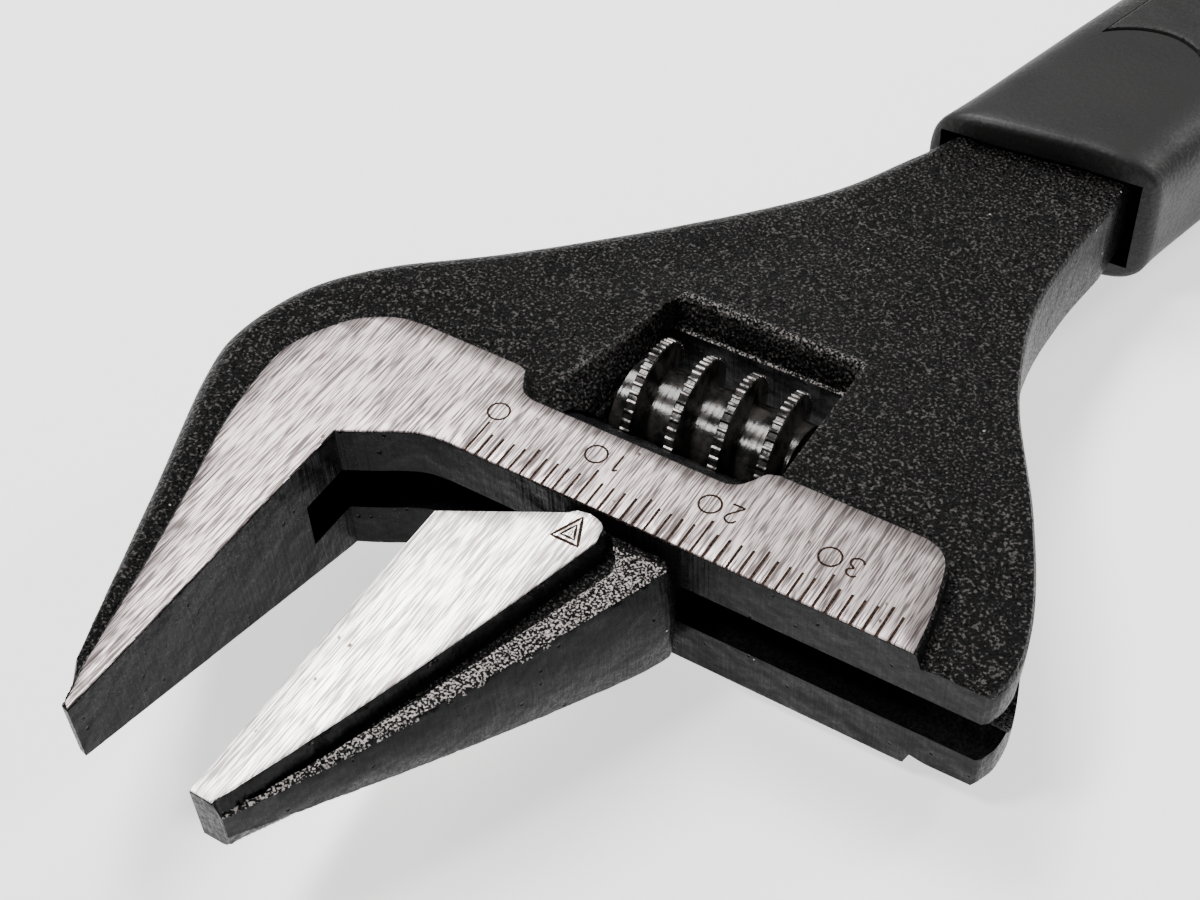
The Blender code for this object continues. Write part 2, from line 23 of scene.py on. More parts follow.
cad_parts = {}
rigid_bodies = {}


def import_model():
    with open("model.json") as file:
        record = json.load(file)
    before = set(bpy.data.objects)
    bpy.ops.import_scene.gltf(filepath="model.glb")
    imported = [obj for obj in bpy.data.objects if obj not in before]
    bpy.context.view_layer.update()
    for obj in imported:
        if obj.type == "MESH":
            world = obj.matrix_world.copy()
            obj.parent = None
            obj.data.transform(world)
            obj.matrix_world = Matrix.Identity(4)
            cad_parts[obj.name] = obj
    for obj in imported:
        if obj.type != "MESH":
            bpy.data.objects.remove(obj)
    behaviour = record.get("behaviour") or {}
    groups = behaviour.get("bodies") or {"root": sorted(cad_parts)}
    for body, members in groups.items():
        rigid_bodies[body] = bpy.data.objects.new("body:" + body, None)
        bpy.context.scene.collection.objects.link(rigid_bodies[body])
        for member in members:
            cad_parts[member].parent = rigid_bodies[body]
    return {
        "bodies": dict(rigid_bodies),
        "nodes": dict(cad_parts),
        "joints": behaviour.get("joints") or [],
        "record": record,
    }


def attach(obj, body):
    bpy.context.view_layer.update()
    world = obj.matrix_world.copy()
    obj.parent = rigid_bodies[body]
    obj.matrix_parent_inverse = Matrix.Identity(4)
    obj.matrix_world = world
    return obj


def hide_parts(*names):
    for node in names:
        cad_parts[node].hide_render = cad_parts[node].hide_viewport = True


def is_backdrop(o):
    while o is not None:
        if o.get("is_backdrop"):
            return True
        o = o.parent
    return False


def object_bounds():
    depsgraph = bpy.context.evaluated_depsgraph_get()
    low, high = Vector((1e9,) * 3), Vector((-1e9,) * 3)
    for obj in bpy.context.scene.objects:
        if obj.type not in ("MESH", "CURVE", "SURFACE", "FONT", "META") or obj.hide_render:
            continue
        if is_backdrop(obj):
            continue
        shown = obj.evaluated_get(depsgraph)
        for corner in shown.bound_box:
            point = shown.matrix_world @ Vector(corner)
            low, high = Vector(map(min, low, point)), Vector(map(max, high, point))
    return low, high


log = logging.getLogger("wrench")

MM = 0.001
Array = np.ndarray
Socket = bpy.types.NodeSocket
Object = bpy.types.Object
Surface = Callable[[Array], Array]


# ---------------------------------------------------------------- outlines


def pairs(*points: tuple[float, float]) -> Array:
    """Return 2-D points as an array."""
    return np.array(points, float)


def smooth_curve(points: Array, steps: int = 8) -> Array:
    """Return points along a Catmull-Rom curve.

    Args:
        points: The points that the curve passes through.
        steps: Points made for each stretch.
    """
    ends = np.vstack([2 * points[0] - points[1], points, 2 * points[-1] - points[-2]])
    curve = []
    for a, b, c, d in zip(ends, ends[1:], ends[2:], ends[3:]):
        for t in np.arange(steps) / steps:
            curve.append(0.5 * (2 * b + (c - a) * t + (2 * a - 5 * b + 4 * c - d) * t**2
                                + (3 * b - a - 3 * c + d) * t**3))
    return np.vstack(curve + [points[-1]])


def subdivided(loop: Array, step: float) -> Array:
    """Return a closed loop with points at most a step apart, its own corners kept."""
    out = []
    for a, b in zip(loop, np.roll(loop, -1, 0)):
        count = max(1, math.ceil(np.linalg.norm(b - a) / step))
        out.extend(a + (b - a) * i / count for i in range(count))
    return np.array(out)


def outward_normals(loop: Array) -> Array:
    """Return the outward direction at each corner of an anticlockwise loop."""
    ahead = np.roll(loop, -1, 0) - loop
    ahead /= np.linalg.norm(ahead, axis=1)[:, None]
    behind = np.roll(ahead, 1, 0)
    normal = np.stack([ahead[:, 1] + behind[:, 1], -ahead[:, 0] - behind[:, 0]], 1)
    return normal / np.maximum(np.linalg.norm(normal, axis=1)[:, None], 1e-9)


def edge_distance(points: Array, loop: Array) -> tuple[Array, Array]:
    """Measure points against a closed loop.

    Returns:
        The distance to the loop, positive inside, and the nearest place as a corner number with a share.
    """
    start, stop = loop, np.roll(loop, -1, 0)
    along = stop - start
    length = np.maximum((along**2).sum(1), 1e-12)
    distance, place = np.empty(len(points)), np.empty(len(points))
    for first in range(0, len(points), 2000):
        p = points[first:first + 2000, None]
        t = np.clip(((p - start) * along).sum(2) / length, 0, 1)
        gap = np.linalg.norm(p - start - t[..., None] * along, axis=2)
        near = gap.argmin(1)
        crosses = (start[:, 1] <= p[..., 1]) != (stop[:, 1] <= p[..., 1])
        rise = np.where(np.abs(along[:, 1]) < 1e-12, 1e-12, along[:, 1])
        hit = start[:, 0] + (p[..., 1] - start[:, 1]) / rise * along[:, 0]
        inside = (crosses & (p[..., 0] < hit)).sum(1) % 2 == 1
        row = np.arange(len(near))
        distance[first:first + 2000] = gap[row, near] * np.where(inside, 1, -1)
        place[first:first + 2000] = near + t[row, near]
    return distance, place


def smoothstep(value: Array) -> Array:
    """Return a value eased from 0 to 1."""
    t = np.clip(value, 0, 1)
    return t * t * (3 - 2 * t)


def beside(loop: Array, gaps: Iterable[float], step: float) -> Array:
    """Return rows of points at the given gaps inside (positive) or outside a loop."""
    dense = subdivided(loop, step)
    normal = outward_normals(dense)
    return np.vstack([dense - normal * gap for gap in gaps])


def thinned(points: Array, keep_off: Array, least: float) -> Array:
    """Return the points that lie at least a distance from those already taken."""
    taken: dict[tuple[int, int], list[Array]] = {}

    def cells(p: Array) -> Iterable[list[Array]]:
        """Yield the neighbours' cells."""
        i, j = int(p[0] // least), int(p[1] // least)
        return (taken.get((i + a, j + b), []) for a in (-1, 0, 1) for b in (-1, 0, 1))

    def take(p: Array) -> None:
        """Mark a point as taken."""
        taken.setdefault((int(p[0] // least), int(p[1] // least)), []).append(p)

    for p in keep_off:
        take(p)
    kept = []
    for p in points:
        if all((p[0] - q[0])**2 + (p[1] - q[1])**2 >= least**2 for cell in cells(p) for q in cell):
            take(p)
            kept.append(p)
    return np.array(kept)


def edge_radius(points: Array, loop: Array, radii: Array) -> tuple[Array, Array]:
    """Return points' distance to an outline, and the edge radius at the nearest place on it."""
    distance, place = edge_distance(points, loop)
    ring = np.append(radii, radii[0])
    return distance, np.interp(place, np.arange(len(ring)), ring)


# ---------------------------------------------------------------- meshes


def placed_object(name: str, data: bpy.types.ID) -> Object:
    """Make an object of some data and put it in the scene."""
    made = bpy.data.objects.new(name, data)
    bpy.context.scene.collection.objects.link(made)
    return made


def bands(count: int, rings: int) -> list[list[int]]:
    """Return the four-sided faces between neighbouring rings of a number of points."""
    return [[k * count + i, k * count + (i + 1) % count, (k + 1) * count + (i + 1) % count,
             (k + 1) * count + i] for k in range(rings - 1) for i in range(count)]


class Bench:
    """Where the head stands in the frame, and how a finished shape becomes a piece."""

    WORM_FROM_EDGE = 16.0

    def __init__(self, frame: dict) -> None:
        """Read the head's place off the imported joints."""
        spin = next(j for j in frame["joints"] if j["name"] == "worm_spin")
        self.origin = np.array([0.0, spin["pos_m"][1] - self.WORM_FROM_EDGE * MM, spin["pos_m"][2]])

    def place(self, points: Array) -> Array:
        """Return drawn millimetres as the frame's metres."""
        return np.asarray(points, float) * MM + self.origin

    def mesh(self, name: str, points: Array, faces: Sequence[Sequence[int]], sharp: float = 35) -> Object:
        """Make an object at the origin from drawn points and faces.

        Args:
            name: The piece's name.
            points: Drawn points in millimetres.
            faces: Corner numbers of each face, anticlockwise from outside.
            sharp: Angle in degrees past which an edge stays sharp.
        """
        data = bpy.data.meshes.new(name)
        data.from_pydata(self.place(points).tolist(), [], [list(map(int, f)) for f in faces])
        piece = placed_object(name, data)
        shade(piece, sharp)
        return piece

    def drawn(self, points: Array) -> Array:
        """Return the frame's metres as drawn millimetres."""
        return (points - self.origin) / MM

    def loft(self, name: str, rings: Sequence[Array]) -> Object:
        """Make a closed solid through rings of points, with a flat face at each end."""
        count = len(rings[0])
        last = (len(rings) - 1) * count
        ends = [list(range(count))[::-1], list(range(last, last + count))]
        return self.mesh(name, np.vstack(rings), ends + bands(count, len(rings)))

    def prism(self, name: str, loop: Array, low: float, high: float) -> Object:
        """Make an upright prism of a drawn loop."""
        return self.loft(name, [np.c_[loop, np.full(len(loop), z)] for z in (low, high)])

    def rod(self, name: str, radius: float, start: float, stop: float, y: float, sides: int = 64) -> Object:
        """Make a rod along X."""
        turn = np.arange(sides) * 2 * math.pi / sides
        ring = np.c_[np.zeros(sides), y + radius * np.cos(turn), radius * np.sin(turn)]
        return self.loft(name, [ring + (start, 0, 0), ring + (stop, 0, 0)])


class Join(Enum):
    """Ways to combine two solids."""

    CUT = "DIFFERENCE"
    ADD = "UNION"
    COMMON = "INTERSECT"


def combine(piece: Object, tool: Object, how: Join) -> None:
    """Cut, join or intersect a piece with a tool solid, and remove the tool."""
    boolean = piece.modifiers.new("combine", "BOOLEAN")
    boolean.operation = how.value
    boolean.solver = "EXACT"
    boolean.object = tool
    flatten(piece)
    bpy.data.objects.remove(tool, do_unlink=True)
    close_slivers(piece)


@contextmanager
def editing(piece: Object) -> Iterator[bmesh.types.BMesh]:
    """Give a piece's mesh to edit, and write it back afterwards."""
    net = bmesh.new()
    net.from_mesh(piece.data)
    yield net
    net.to_mesh(piece.data)
    net.free()


def close_slivers(piece: Object) -> None:
    """Close the hairline three-sided gaps that a cut can leave along an edge."""
    with editing(piece) as net:
        bmesh.ops.holes_fill(net, edges=[edge for edge in net.edges if edge.is_boundary], sides=3)


def flatten(piece: Object) -> None:
    """Replace a piece's mesh by what its modifiers make, and remove them."""
    graph = bpy.context.evaluated_depsgraph_get()
    graph.update()
    made = bpy.data.meshes.new_from_object(piece.evaluated_get(graph), depsgraph=graph)
    old = piece.data
    piece.modifiers.clear()
    piece.data = made
    made.name = old.name
    if old.users == 0:
        bpy.data.meshes.remove(old)


def shade(piece: Object, sharp: float = 35) -> None:
    """Shade a piece smooth, with edges past an angle left sharp."""
    piece.data.shade_smooth()
    piece.data.set_sharp_from_angle(angle=math.radians(sharp))


@dataclass
class Slab:
    """A solid between an upper and a lower surface over one flat region."""

    loop: Array
    height: Surface
    depth: Surface
    holes: Sequence[Array] = ()
    rows: Sequence[Array] = ()
    grid: float = 1.0
    edge_step: float = 0.45
    least: float = 0.11
    bulge: Surface | None = None

    def points(self) -> tuple[Array, list[tuple[int, int]]]:
        """Return the flat points and the edges that the mesh has to keep."""
        loops = [subdivided(self.loop, self.edge_step)]
        loops += [subdivided(hole, self.edge_step) for hole in self.holes]
        edges, count = [], 0
        for loop in loops:
            edges += [(count + i, count + (i + 1) % len(loop)) for i in range(len(loop))]
            count += len(loop)
        border = np.vstack(loops)
        low, high = self.loop.min(0), self.loop.max(0)
        x, y = np.meshgrid(np.arange(low[0], high[0], self.grid), np.arange(low[1], high[1], self.grid))
        inner = np.vstack([*self.rows, np.c_[x.ravel(), y.ravel()]])
        inner = inner[edge_distance(inner, self.loop)[0] > self.least]
        for hole in self.holes:
            inner = inner[edge_distance(inner, hole)[0] < -self.least]
        return np.vstack([border, thinned(inner, border, self.least)]), edges

    def triangles(self) -> tuple[Array, list[tuple[int, int, int]]]:
        """Return the flat points and triangles of the region."""
        flat, edges = self.points()
        made = delaunay_2d_cdt([Vector(p) for p in flat], edges, [], 0, 1e-6)
        flat = np.array([tuple(p) for p in made[0]])
        faces = np.array([f for f in made[2] if len(f) == 3])
        middle = flat[faces].mean(1)
        keep = edge_distance(middle, self.loop)[0] > 0
        for hole in self.holes:
            keep &= edge_distance(middle, hole)[0] < 0
        a, b, c = (flat[faces[:, i]] for i in range(3))
        area = (b[:, 0] - a[:, 0]) * (c[:, 1] - a[:, 1]) - (b[:, 1] - a[:, 1]) * (c[:, 0] - a[:, 0])
        faces[area < 0] = faces[area < 0][:, ::-1]
        return flat, [tuple(f) for f in faces[keep & (np.abs(area) > 1e-9)]]

    def build(self, bench: Bench, name: str) -> Object:
        """Make the solid: two surfaces and a wall of two bands along each border."""
        flat, faces = self.triangles()
        used = np.unique(np.array(faces))
        renumber = np.full(len(flat), -1)
        renumber[used] = np.arange(len(used))
        flat, faces = flat[used], [tuple(renumber[list(f)]) for f in faces]
        count = len(flat)
        top, bottom = self.height(flat), self.depth(flat)
        directed = {(f[i], f[(i + 1) % 3]) for f in faces for i in range(3)}
        rim = [(a, b) for a, b in directed if (b, a) not in directed]
        push = np.zeros((count, 2))
        for a, b in rim:
            out = np.array([flat[b, 1] - flat[a, 1], flat[a, 0] - flat[b, 0]])
            out /= max(np.linalg.norm(out), 1e-9)
            push[a] += out
            push[b] += out
        push /= np.maximum(np.linalg.norm(push, axis=1)[:, None], 1e-9)
        swell = self.bulge(flat) if self.bulge else np.zeros(count)
        rim_points = sorted({a for edge in rim for a in edge})
        middle = {a: 2 * count + i for i, a in enumerate(rim_points)}
        ring = np.array([[*(flat[a] + push[a] * swell[a]), (top[a] + bottom[a]) / 2] for a in rim_points])
        points = np.vstack([np.c_[flat, top], np.c_[flat, bottom], ring])
        walls = [(middle[a], middle[b], b, a) for a, b in rim]
        walls += [(a + count, b + count, middle[b], middle[a]) for a, b in rim]
        flipped = [tuple(i + count for i in reversed(f)) for f in faces]
        return bench.mesh(name, points, [*faces, *flipped, *walls], 32)


# ---------------------------------------------------------------- materials


class Graph:
    """A material's node graph, with short methods for the nodes that it uses."""

    def __init__(self, name: str) -> None:
        """Make a material with an empty Principled BSDF."""
        self.material = bpy.data.materials.new(name)
        self.material.use_nodes = True
        self.nodes = self.material.node_tree.nodes
        self.links = self.material.node_tree.links
        self.shader = self.nodes["Principled BSDF"]
        self.coordinates = self.nodes.new("ShaderNodeTexCoord")

    def feed(self, socket: Socket, value: Socket | float | Sequence[float]) -> None:
        """Link a socket, or set it if the value is a constant."""
        if isinstance(value, bpy.types.NodeSocket):
            self.links.new(value, socket)
        else:
            socket.default_value = value

    def fix(self, **values: float | Sequence[float]) -> None:
        """Set constants on the shader's own sockets, named with underscores."""
        for name, value in values.items():
            self.shader.inputs[name.replace("_", " ").title().replace("Ior", "IOR")].default_value = value

    def scaled(self, x: float, y: float | None = None, z: float | None = None) -> Socket:
        """Return the object coordinates times a scale per axis, or times one scale."""
        node = self.nodes.new("ShaderNodeMapping")
        node.inputs["Scale"].default_value = (x, x if y is None else y, x if z is None else z)
        self.links.new(self.coordinates.outputs["Object"], node.inputs["Vector"])
        return node.outputs["Vector"]

    def noise(self, vector: Socket, detail: float = 2, rough: float = 0.5) -> Socket:
        """Return a noise of scale 1 on a vector."""
        node = self.nodes.new("ShaderNodeTexNoise")
        self.links.new(vector, node.inputs["Vector"])
        node.inputs["Scale"].default_value = 1.0
        node.inputs["Detail"].default_value = detail
        node.inputs["Roughness"].default_value = rough
        return node.outputs["Fac"]

    def cells(self, vector: Socket, smooth: float = 0.0) -> Socket:
        """Return the distance to the nearest cell point, of scale 1."""
        node = self.nodes.new("ShaderNodeTexVoronoi")
        node.feature = "SMOOTH_F1" if smooth else "F1"
        self.links.new(vector, node.inputs["Vector"])
        node.inputs["Scale"].default_value = 1.0
        if smooth:
            node.inputs["Smoothness"].default_value = smooth
        return node.outputs["Distance"]

    def math(self, operation: str, a: Socket | float, b: Socket | float = 0.0) -> Socket:
        """Return a Math node's result."""
        node = self.nodes.new("ShaderNodeMath")
        node.operation = operation
        self.feed(node.inputs[0], a)
        self.feed(node.inputs[1], b)
        return node.outputs[0]

    def span(self, value: Socket, low: float, high: float, to_low: float = 0.0,
             to_high: float = 1.0) -> Socket:
        """Return a value moved smoothly from one range to another, and clamped."""
        node = self.nodes.new("ShaderNodeMapRange")
        node.interpolation_type = "SMOOTHSTEP"
        for name, number in (("From Min", low), ("From Max", high), ("To Min", to_low), ("To Max", to_high)):
            node.inputs[name].default_value = number
        self.links.new(value, node.inputs["Value"])
        return node.outputs["Result"]

    def blend(self, share: Socket, low: Sequence[float] | Socket, high: Sequence[float] | Socket) -> Socket:
        """Return a colour between two colours."""
        node = self.nodes.new("ShaderNodeMix")
        node.data_type = "RGBA"
        self.feed(node.inputs["Factor"], share)
        for socket, value in ((node.inputs[6], low), (node.inputs[7], high)):
            self.feed(socket, value if isinstance(value, bpy.types.NodeSocket) else (*value, 1.0))
        return node.outputs[2]

    def bump(self, height: Socket, depth: float, after: Socket | None = None) -> Socket:
        """Return a normal bumped by a height, with the depth in metres."""
        node = self.nodes.new("ShaderNodeBump")
        node.inputs["Strength"].default_value = 1.0
        node.inputs["Distance"].default_value = depth
        self.links.new(height, node.inputs["Height"])
        if after is not None:
            self.links.new(after, node.inputs["Normal"])
        return node.outputs["Normal"]

    def attribute(self, name: str) -> Socket:
        """Return a number stored on the piece's faces."""
        node = self.nodes.new("ShaderNodeAttribute")
        node.attribute_name = name
        return node.outputs["Fac"]

    def mix(self, share: Socket, low: Socket, high: Socket) -> Socket:
        """Return a number between two numbers."""
        node = self.nodes.new("ShaderNodeMix")
        self.feed(node.inputs[0], share)
        self.feed(node.inputs[2], low)
        self.feed(node.inputs[3], high)
        return node.outputs[0]

    def wire(self, colour: Socket, rough: Socket, normal: Socket) -> bpy.types.Material:
        """Link the shader's colour, roughness and normal, and return the material."""
        self.links.new(colour, self.shader.inputs["Base Color"])
        self.links.new(rough, self.shader.inputs["Roughness"])
        self.links.new(normal, self.shader.inputs["Normal"])
        return self.material


@dataclass(frozen=True)
class BrightSteel:
    """Steel ground bright, with fine lines along the handle and a few pits."""

    name: str = "bright_steel"
    # The head's plates' tones, darker than the jaw's copy of the same steel: painted shade for lying farther
    # from the key light's mirror direction.
    dark: tuple[float, float, float] = (0.08, 0.066, 0.064)
    light: tuple[float, float, float] = (0.40, 0.345, 0.34)
    roughness: float = 0.38

    def material(self) -> bpy.types.Material:
        """Build the material."""
        g = Graph(self.name)
        g.fix(metallic=0.9, specular_ior_level=0.5)
        fine = g.noise(g.scaled(9600, 520, 520), 1, 0.5)
        long = g.noise(g.scaled(7600, 130, 130), 1, 0.5)
        cloud = g.noise(g.scaled(190, 90, 90), 3, 0.6)
        streak = g.math("ADD", g.math("MULTIPLY", fine, 0.55), g.math("MULTIPLY", long, 0.45))
        shade_of = g.span(g.math("ADD", streak, g.math("MULTIPLY", cloud, 0.12)), 0.47, 0.65)
        pits = g.span(g.cells(g.scaled(700, 560, 560)), 0.06, 0.14)
        scarce = g.span(g.noise(g.scaled(330), 1), 0.57, 0.6)
        spots = g.math("SUBTRACT", 1.0, g.math("MULTIPLY", g.math("SUBTRACT", 1.0, pits), scarce))
        colour = g.blend(shade_of, self.dark, self.light)
        colour = g.blend(spots, (0.10, 0.07, 0.055), colour)
        rough = g.span(streak, 0.3, 0.7, self.roughness + 0.1, self.roughness - 0.06)
        normal = g.bump(g.math("MULTIPLY", streak, spots), 0.00003)
        return g.wire(colour, rough, normal)


@dataclass(frozen=True)
class ForgedBlack:
    """Blackened forging: grainy as cast, and ground smooth where the attribute "ground" is 1."""

    name: str = "cast_and_ground_black"
    grain_mm: float = 0.36
    grain_depth: float = 0.00036

    def material(self) -> bpy.types.Material:
        """Build the material."""
        g = Graph(self.name)
        g.fix(metallic=0.0, specular_ior_level=0.1)
        size = 1 / (self.grain_mm * MM)
        ground = g.attribute("ground")
        lumps = g.cells(g.scaled(size), 0.6)
        grit = g.noise(g.scaled(size * 1.3), 3, 0.6)
        waves = g.noise(g.scaled(size * 0.12), 2, 0.5)
        cast = g.math("ADD", g.math("MULTIPLY", grit, 0.8), g.math("MULTIPLY", lumps, -0.45))
        grind = g.noise(g.scaled(3600, 3600, 110), 2, 0.5)
        pits = g.span(g.cells(g.scaled(900, 900, 700)), 0.05, 0.18)
        scarce = g.span(g.noise(g.scaled(420), 1), 0.54, 0.58)
        holes = g.math("MULTIPLY", g.math("SUBTRACT", 1.0, pits), scarce)
        wall = g.math("SUBTRACT", g.math("MULTIPLY", grind, 0.16), g.math("MULTIPLY", holes, 0.5))
        normal = g.bump(waves, 0.0004)
        normal = g.bump(g.mix(ground, cast, wall), self.grain_depth, normal)
        tone = g.span(grit, 0.35, 0.65)
        dust = g.math("LESS_THAN", g.cells(g.scaled(270)), 0.028)
        # Painted glints: bright specks laid in the cast colour stand in for the light that the grain catches,
        # over the grain's own lighter tone.
        painted_glint = g.span(g.noise(g.scaled(size * 1.5), 1, 0.5), 0.53, 0.72)
        cast_colour = g.blend(painted_glint, (0.0010, 0.0009, 0.0009), (0.09, 0.083, 0.08))
        # Painted highlight and wear: where the attribute is set, a bright speckled colour stands in for the
        # light caught by the head's window rim and relief lip; on the jaw it is the worn outer strips.
        wear_and_highlight = g.span(g.noise(g.scaled(size * 1.9), 1, 0.5), 0.46, 0.66)
        wear_and_highlight_colour = g.blend(wear_and_highlight, (0.002, 0.002, 0.002), (0.56, 0.51, 0.49))
        cast_colour = g.blend(g.attribute("wear_and_highlight"), cast_colour, wear_and_highlight_colour)
        wall_colour = g.blend(g.span(grind, 0.3, 0.7), (0.002, 0.002, 0.0024), (0.006, 0.006, 0.007))
        wall_colour = g.blend(holes, wall_colour, (0.002, 0.002, 0.002))
        colour = g.blend(ground, cast_colour, wall_colour)
        colour = g.blend(g.math("MULTIPLY", dust, 0.8), colour, (0.6, 0.57, 0.55))
        return g.wire(colour, g.span(tone, 0, 1, 0.46, 0.26), normal)


@dataclass(frozen=True)
class WormBlack:
    """Glossy blackened turning with brighter worn crests."""

    name: str = "worm_blackened"

    def material(self) -> bpy.types.Material:
        """Build the material."""
        g = Graph(self.name)
        g.fix(metallic=0.4, specular_ior_level=0.5)
        turned = g.noise(g.scaled(2600, 300, 300), 3, 0.6)
        stain = g.noise(g.scaled(520), 4, 0.65)
        tone = g.span(stain, 0.38, 0.66)
        colour = g.blend(tone, (0.004, 0.0037, 0.0035), (0.05, 0.044, 0.04))
        rough = g.span(stain, 0.3, 0.7, 0.13, 0.26)
        normal = g.bump(g.math("ADD", turned, stain), 0.00003)
        return g.wire(colour, rough, normal)


@dataclass(frozen=True)
class WormCrest:
    """The worm's knurled crest, worn bright on its ridges."""

    name: str = "worm_crest"

    def material(self) -> bpy.types.Material:
        """Build the material."""
        g = Graph(self.name)
        g.fix(metallic=0.85, specular_ior_level=0.5)
        wear = g.noise(g.scaled(900), 3, 0.6)
        colour = g.blend(g.span(wear, 0.4, 0.62), (0.008, 0.0075, 0.007), (0.22, 0.20, 0.19))
        return g.wire(colour, g.span(wear, 0.3, 0.7, 0.42, 0.3), g.bump(wear, 0.00003))


@dataclass(frozen=True)
class TurnedSteel:
    """Plain drawn or turned steel, for the pin and the spring."""

    name: str = "turned_steel"
    tone: float = 0.4

    def material(self) -> bpy.types.Material:
        """Build the material."""
        g = Graph(self.name)
        g.fix(metallic=1.0)
        rings = g.noise(g.scaled(5200, 500, 500), 2, 0.5)
        colour = g.blend(g.span(rings, 0.3, 0.7), (self.tone * 0.6,) * 3, (self.tone * 1.2,) * 3)
        return g.wire(colour, g.span(rings, 0.3, 0.7, 0.28, 0.42), g.bump(rings, 0.00002))


@dataclass(frozen=True)
class Engraving:
    """The brown-black floor of the engraved marks."""

    name: str = "engraving"

    def material(self) -> bpy.types.Material:
        """Build the material."""
        g = Graph(self.name)
        g.fix(metallic=0.0, specular_ior_level=0.1)
        burn = g.noise(g.scaled(5200), 3, 0.6)
        colour = g.blend(g.span(burn, 0.35, 0.65), (0.005, 0.003, 0.002), (0.05, 0.022, 0.010))
        return g.wire(colour, g.span(burn, 0.3, 0.7, 0.7, 0.5), g.bump(burn, 0.00003))


@dataclass(frozen=True)
class MouldedGrip:
    """Black moulded plastic or rubber with a leathery grain."""

    name: str = "sleeve_plastic"
    grain_mm: float = 0.5
    depth: float = 0.00006
    tone: float = 0.011
    roughness: float = 0.5

    def material(self) -> bpy.types.Material:
        """Build the material."""
        g = Graph(self.name)
        g.fix(metallic=0.0, specular_ior_level=0.3)
        size = 1 / (self.grain_mm * MM)
        coarse = g.span(g.attribute("ground"), 0, 1, 0.3, 1.0)
        leather = g.cells(g.scaled(size), 0.4)
        fine = g.noise(g.scaled(size * 2.2), 4, 0.6)
        broad = g.noise(g.scaled(size * 0.08), 2)
        height = g.math("ADD", g.math("MULTIPLY", leather, 0.6), g.math("MULTIPLY", fine, 0.5))
        height = g.math("MULTIPLY", height, coarse)
        tone = g.span(g.math("ADD", g.math("MULTIPLY", fine, 0.6), g.math("MULTIPLY", broad, 0.4)), 0.3, 0.7)
        colour = g.blend(tone, (self.tone * 0.35,) * 3, (self.tone * 1.8, self.tone * 1.68, self.tone * 1.64))
        rough = g.span(tone, 0, 1, self.roughness + 0.08, self.roughness - 0.06)
        return g.wire(colour, rough, g.bump(height, self.depth))


def dress(piece: Object, body: str, finish: object) -> None:
    """Give a piece its finish and its body, and report it."""
    piece.data.materials.clear()
    piece.data.materials.append(finish_material(finish))
    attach(piece, body)
    log.info("%s rides on %s with %d faces", piece.name, body, len(piece.data.polygons))


def finish_material(finish: object) -> bpy.types.Material:
    """Return a finish's material, built on first use."""
    return bpy.data.materials.get(finish.name) or finish.material()


def mark_faces(piece: Object, name: str, choose: Callable[[Array, Array], Array]) -> None:
    """Store on each face a number between 0 and 1, such as whether it is ground smooth.

    Args:
        piece: The piece to mark.
        name: The name that the materials read the number by.
        choose: Gives the number from the faces' centres and normals.
    """
    faces = piece.data.polygons
    centres, normals = np.empty(len(faces) * 3), np.empty(len(faces) * 3)
    faces.foreach_get("center", centres)
    faces.foreach_get("normal", normals)
    layer = piece.data.attributes.new(name, "FLOAT", "FACE")
    chosen = choose(centres.reshape(-1, 3), normals.reshape(-1, 3))
    layer.data.foreach_set("value", chosen.astype(np.float32))


# ---------------------------------------------------------------- repeats by Geometry Nodes


class Repeater:
    """A Geometry Nodes tree that makes one piece out of repeats, with named inputs."""

    def __init__(self, name: str, finish: object) -> None:
        """Start a tree that ends in Realize Instances and Set Material."""
        self.name, self.finish = name, finish
        self.tree = bpy.data.node_groups.new(name, "GeometryNodeTree")
        self.tree.interface.new_socket("Geometry", in_out="OUTPUT", socket_type="NodeSocketGeometry")
        self.inputs = self.tree.nodes.new("NodeGroupInput")
        self.values: dict[str, float | int] = {}

    def input(self, name: str, value: float | int) -> Socket:
        """Add a named input and return its socket."""
        kind = "NodeSocketInt" if isinstance(value, int) else "NodeSocketFloat"
        item = self.tree.interface.new_socket(name, in_out="INPUT", socket_type=kind)
        self.values[item.identifier] = value
        return self.inputs.outputs[name]

    def node(self, kind: str, settings: dict | None = None,
             **inputs: Socket | float | tuple) -> bpy.types.Node:
        """Add a node, set its options and feed its inputs, named with underscores."""
        node = self.tree.nodes.new(kind)
        for key, value in (settings or {}).items():
            setattr(node, key, value)
        for key, value in inputs.items():
            key = key.replace("_", " ")
            socket = node.inputs[int(key[1:])] if key[0] == "n" and key[1:].isdigit() else node.inputs[key]
            if isinstance(value, bpy.types.NodeSocket):
                self.tree.links.new(value, socket)
            else:
                socket.default_value = value
        return node

    def math(self, operation: str, a: Socket | float, b: Socket | float = 0.0) -> Socket:
        """Return a Math node's result."""
        return self.node("ShaderNodeMath", {"operation": operation}, n0=a, n1=b).outputs[0]

    def vector(self, x: Socket | float, y: Socket | float, z: Socket | float) -> Socket:
        """Return a vector of three numbers."""
        return self.node("ShaderNodeCombineXYZ", None, X=x, Y=y, Z=z).outputs[0]

    def piece(self, geometry: Socket, sharp: float = 35) -> Object:
        """Finish the tree and return what it makes as a plain mesh object."""
        realized = self.node("GeometryNodeRealizeInstances", None, Geometry=geometry)
        material = self.node("GeometryNodeSetMaterial", None, Geometry=realized.outputs[0])
        material.inputs["Material"].default_value = finish_material(self.finish)
        output = self.tree.nodes.new("NodeGroupOutput")
        self.tree.links.new(material.outputs[0], output.inputs[0])
        made = placed_object(self.name, bpy.data.meshes.new(self.name))
        modifier = made.modifiers.new(self.name, "NODES")
        modifier.node_group = self.tree
        for identifier, value in self.values.items():
            modifier[identifier] = value
        flatten(made)
        shade(made, sharp)
        return made


# ---------------------------------------------------------------- head


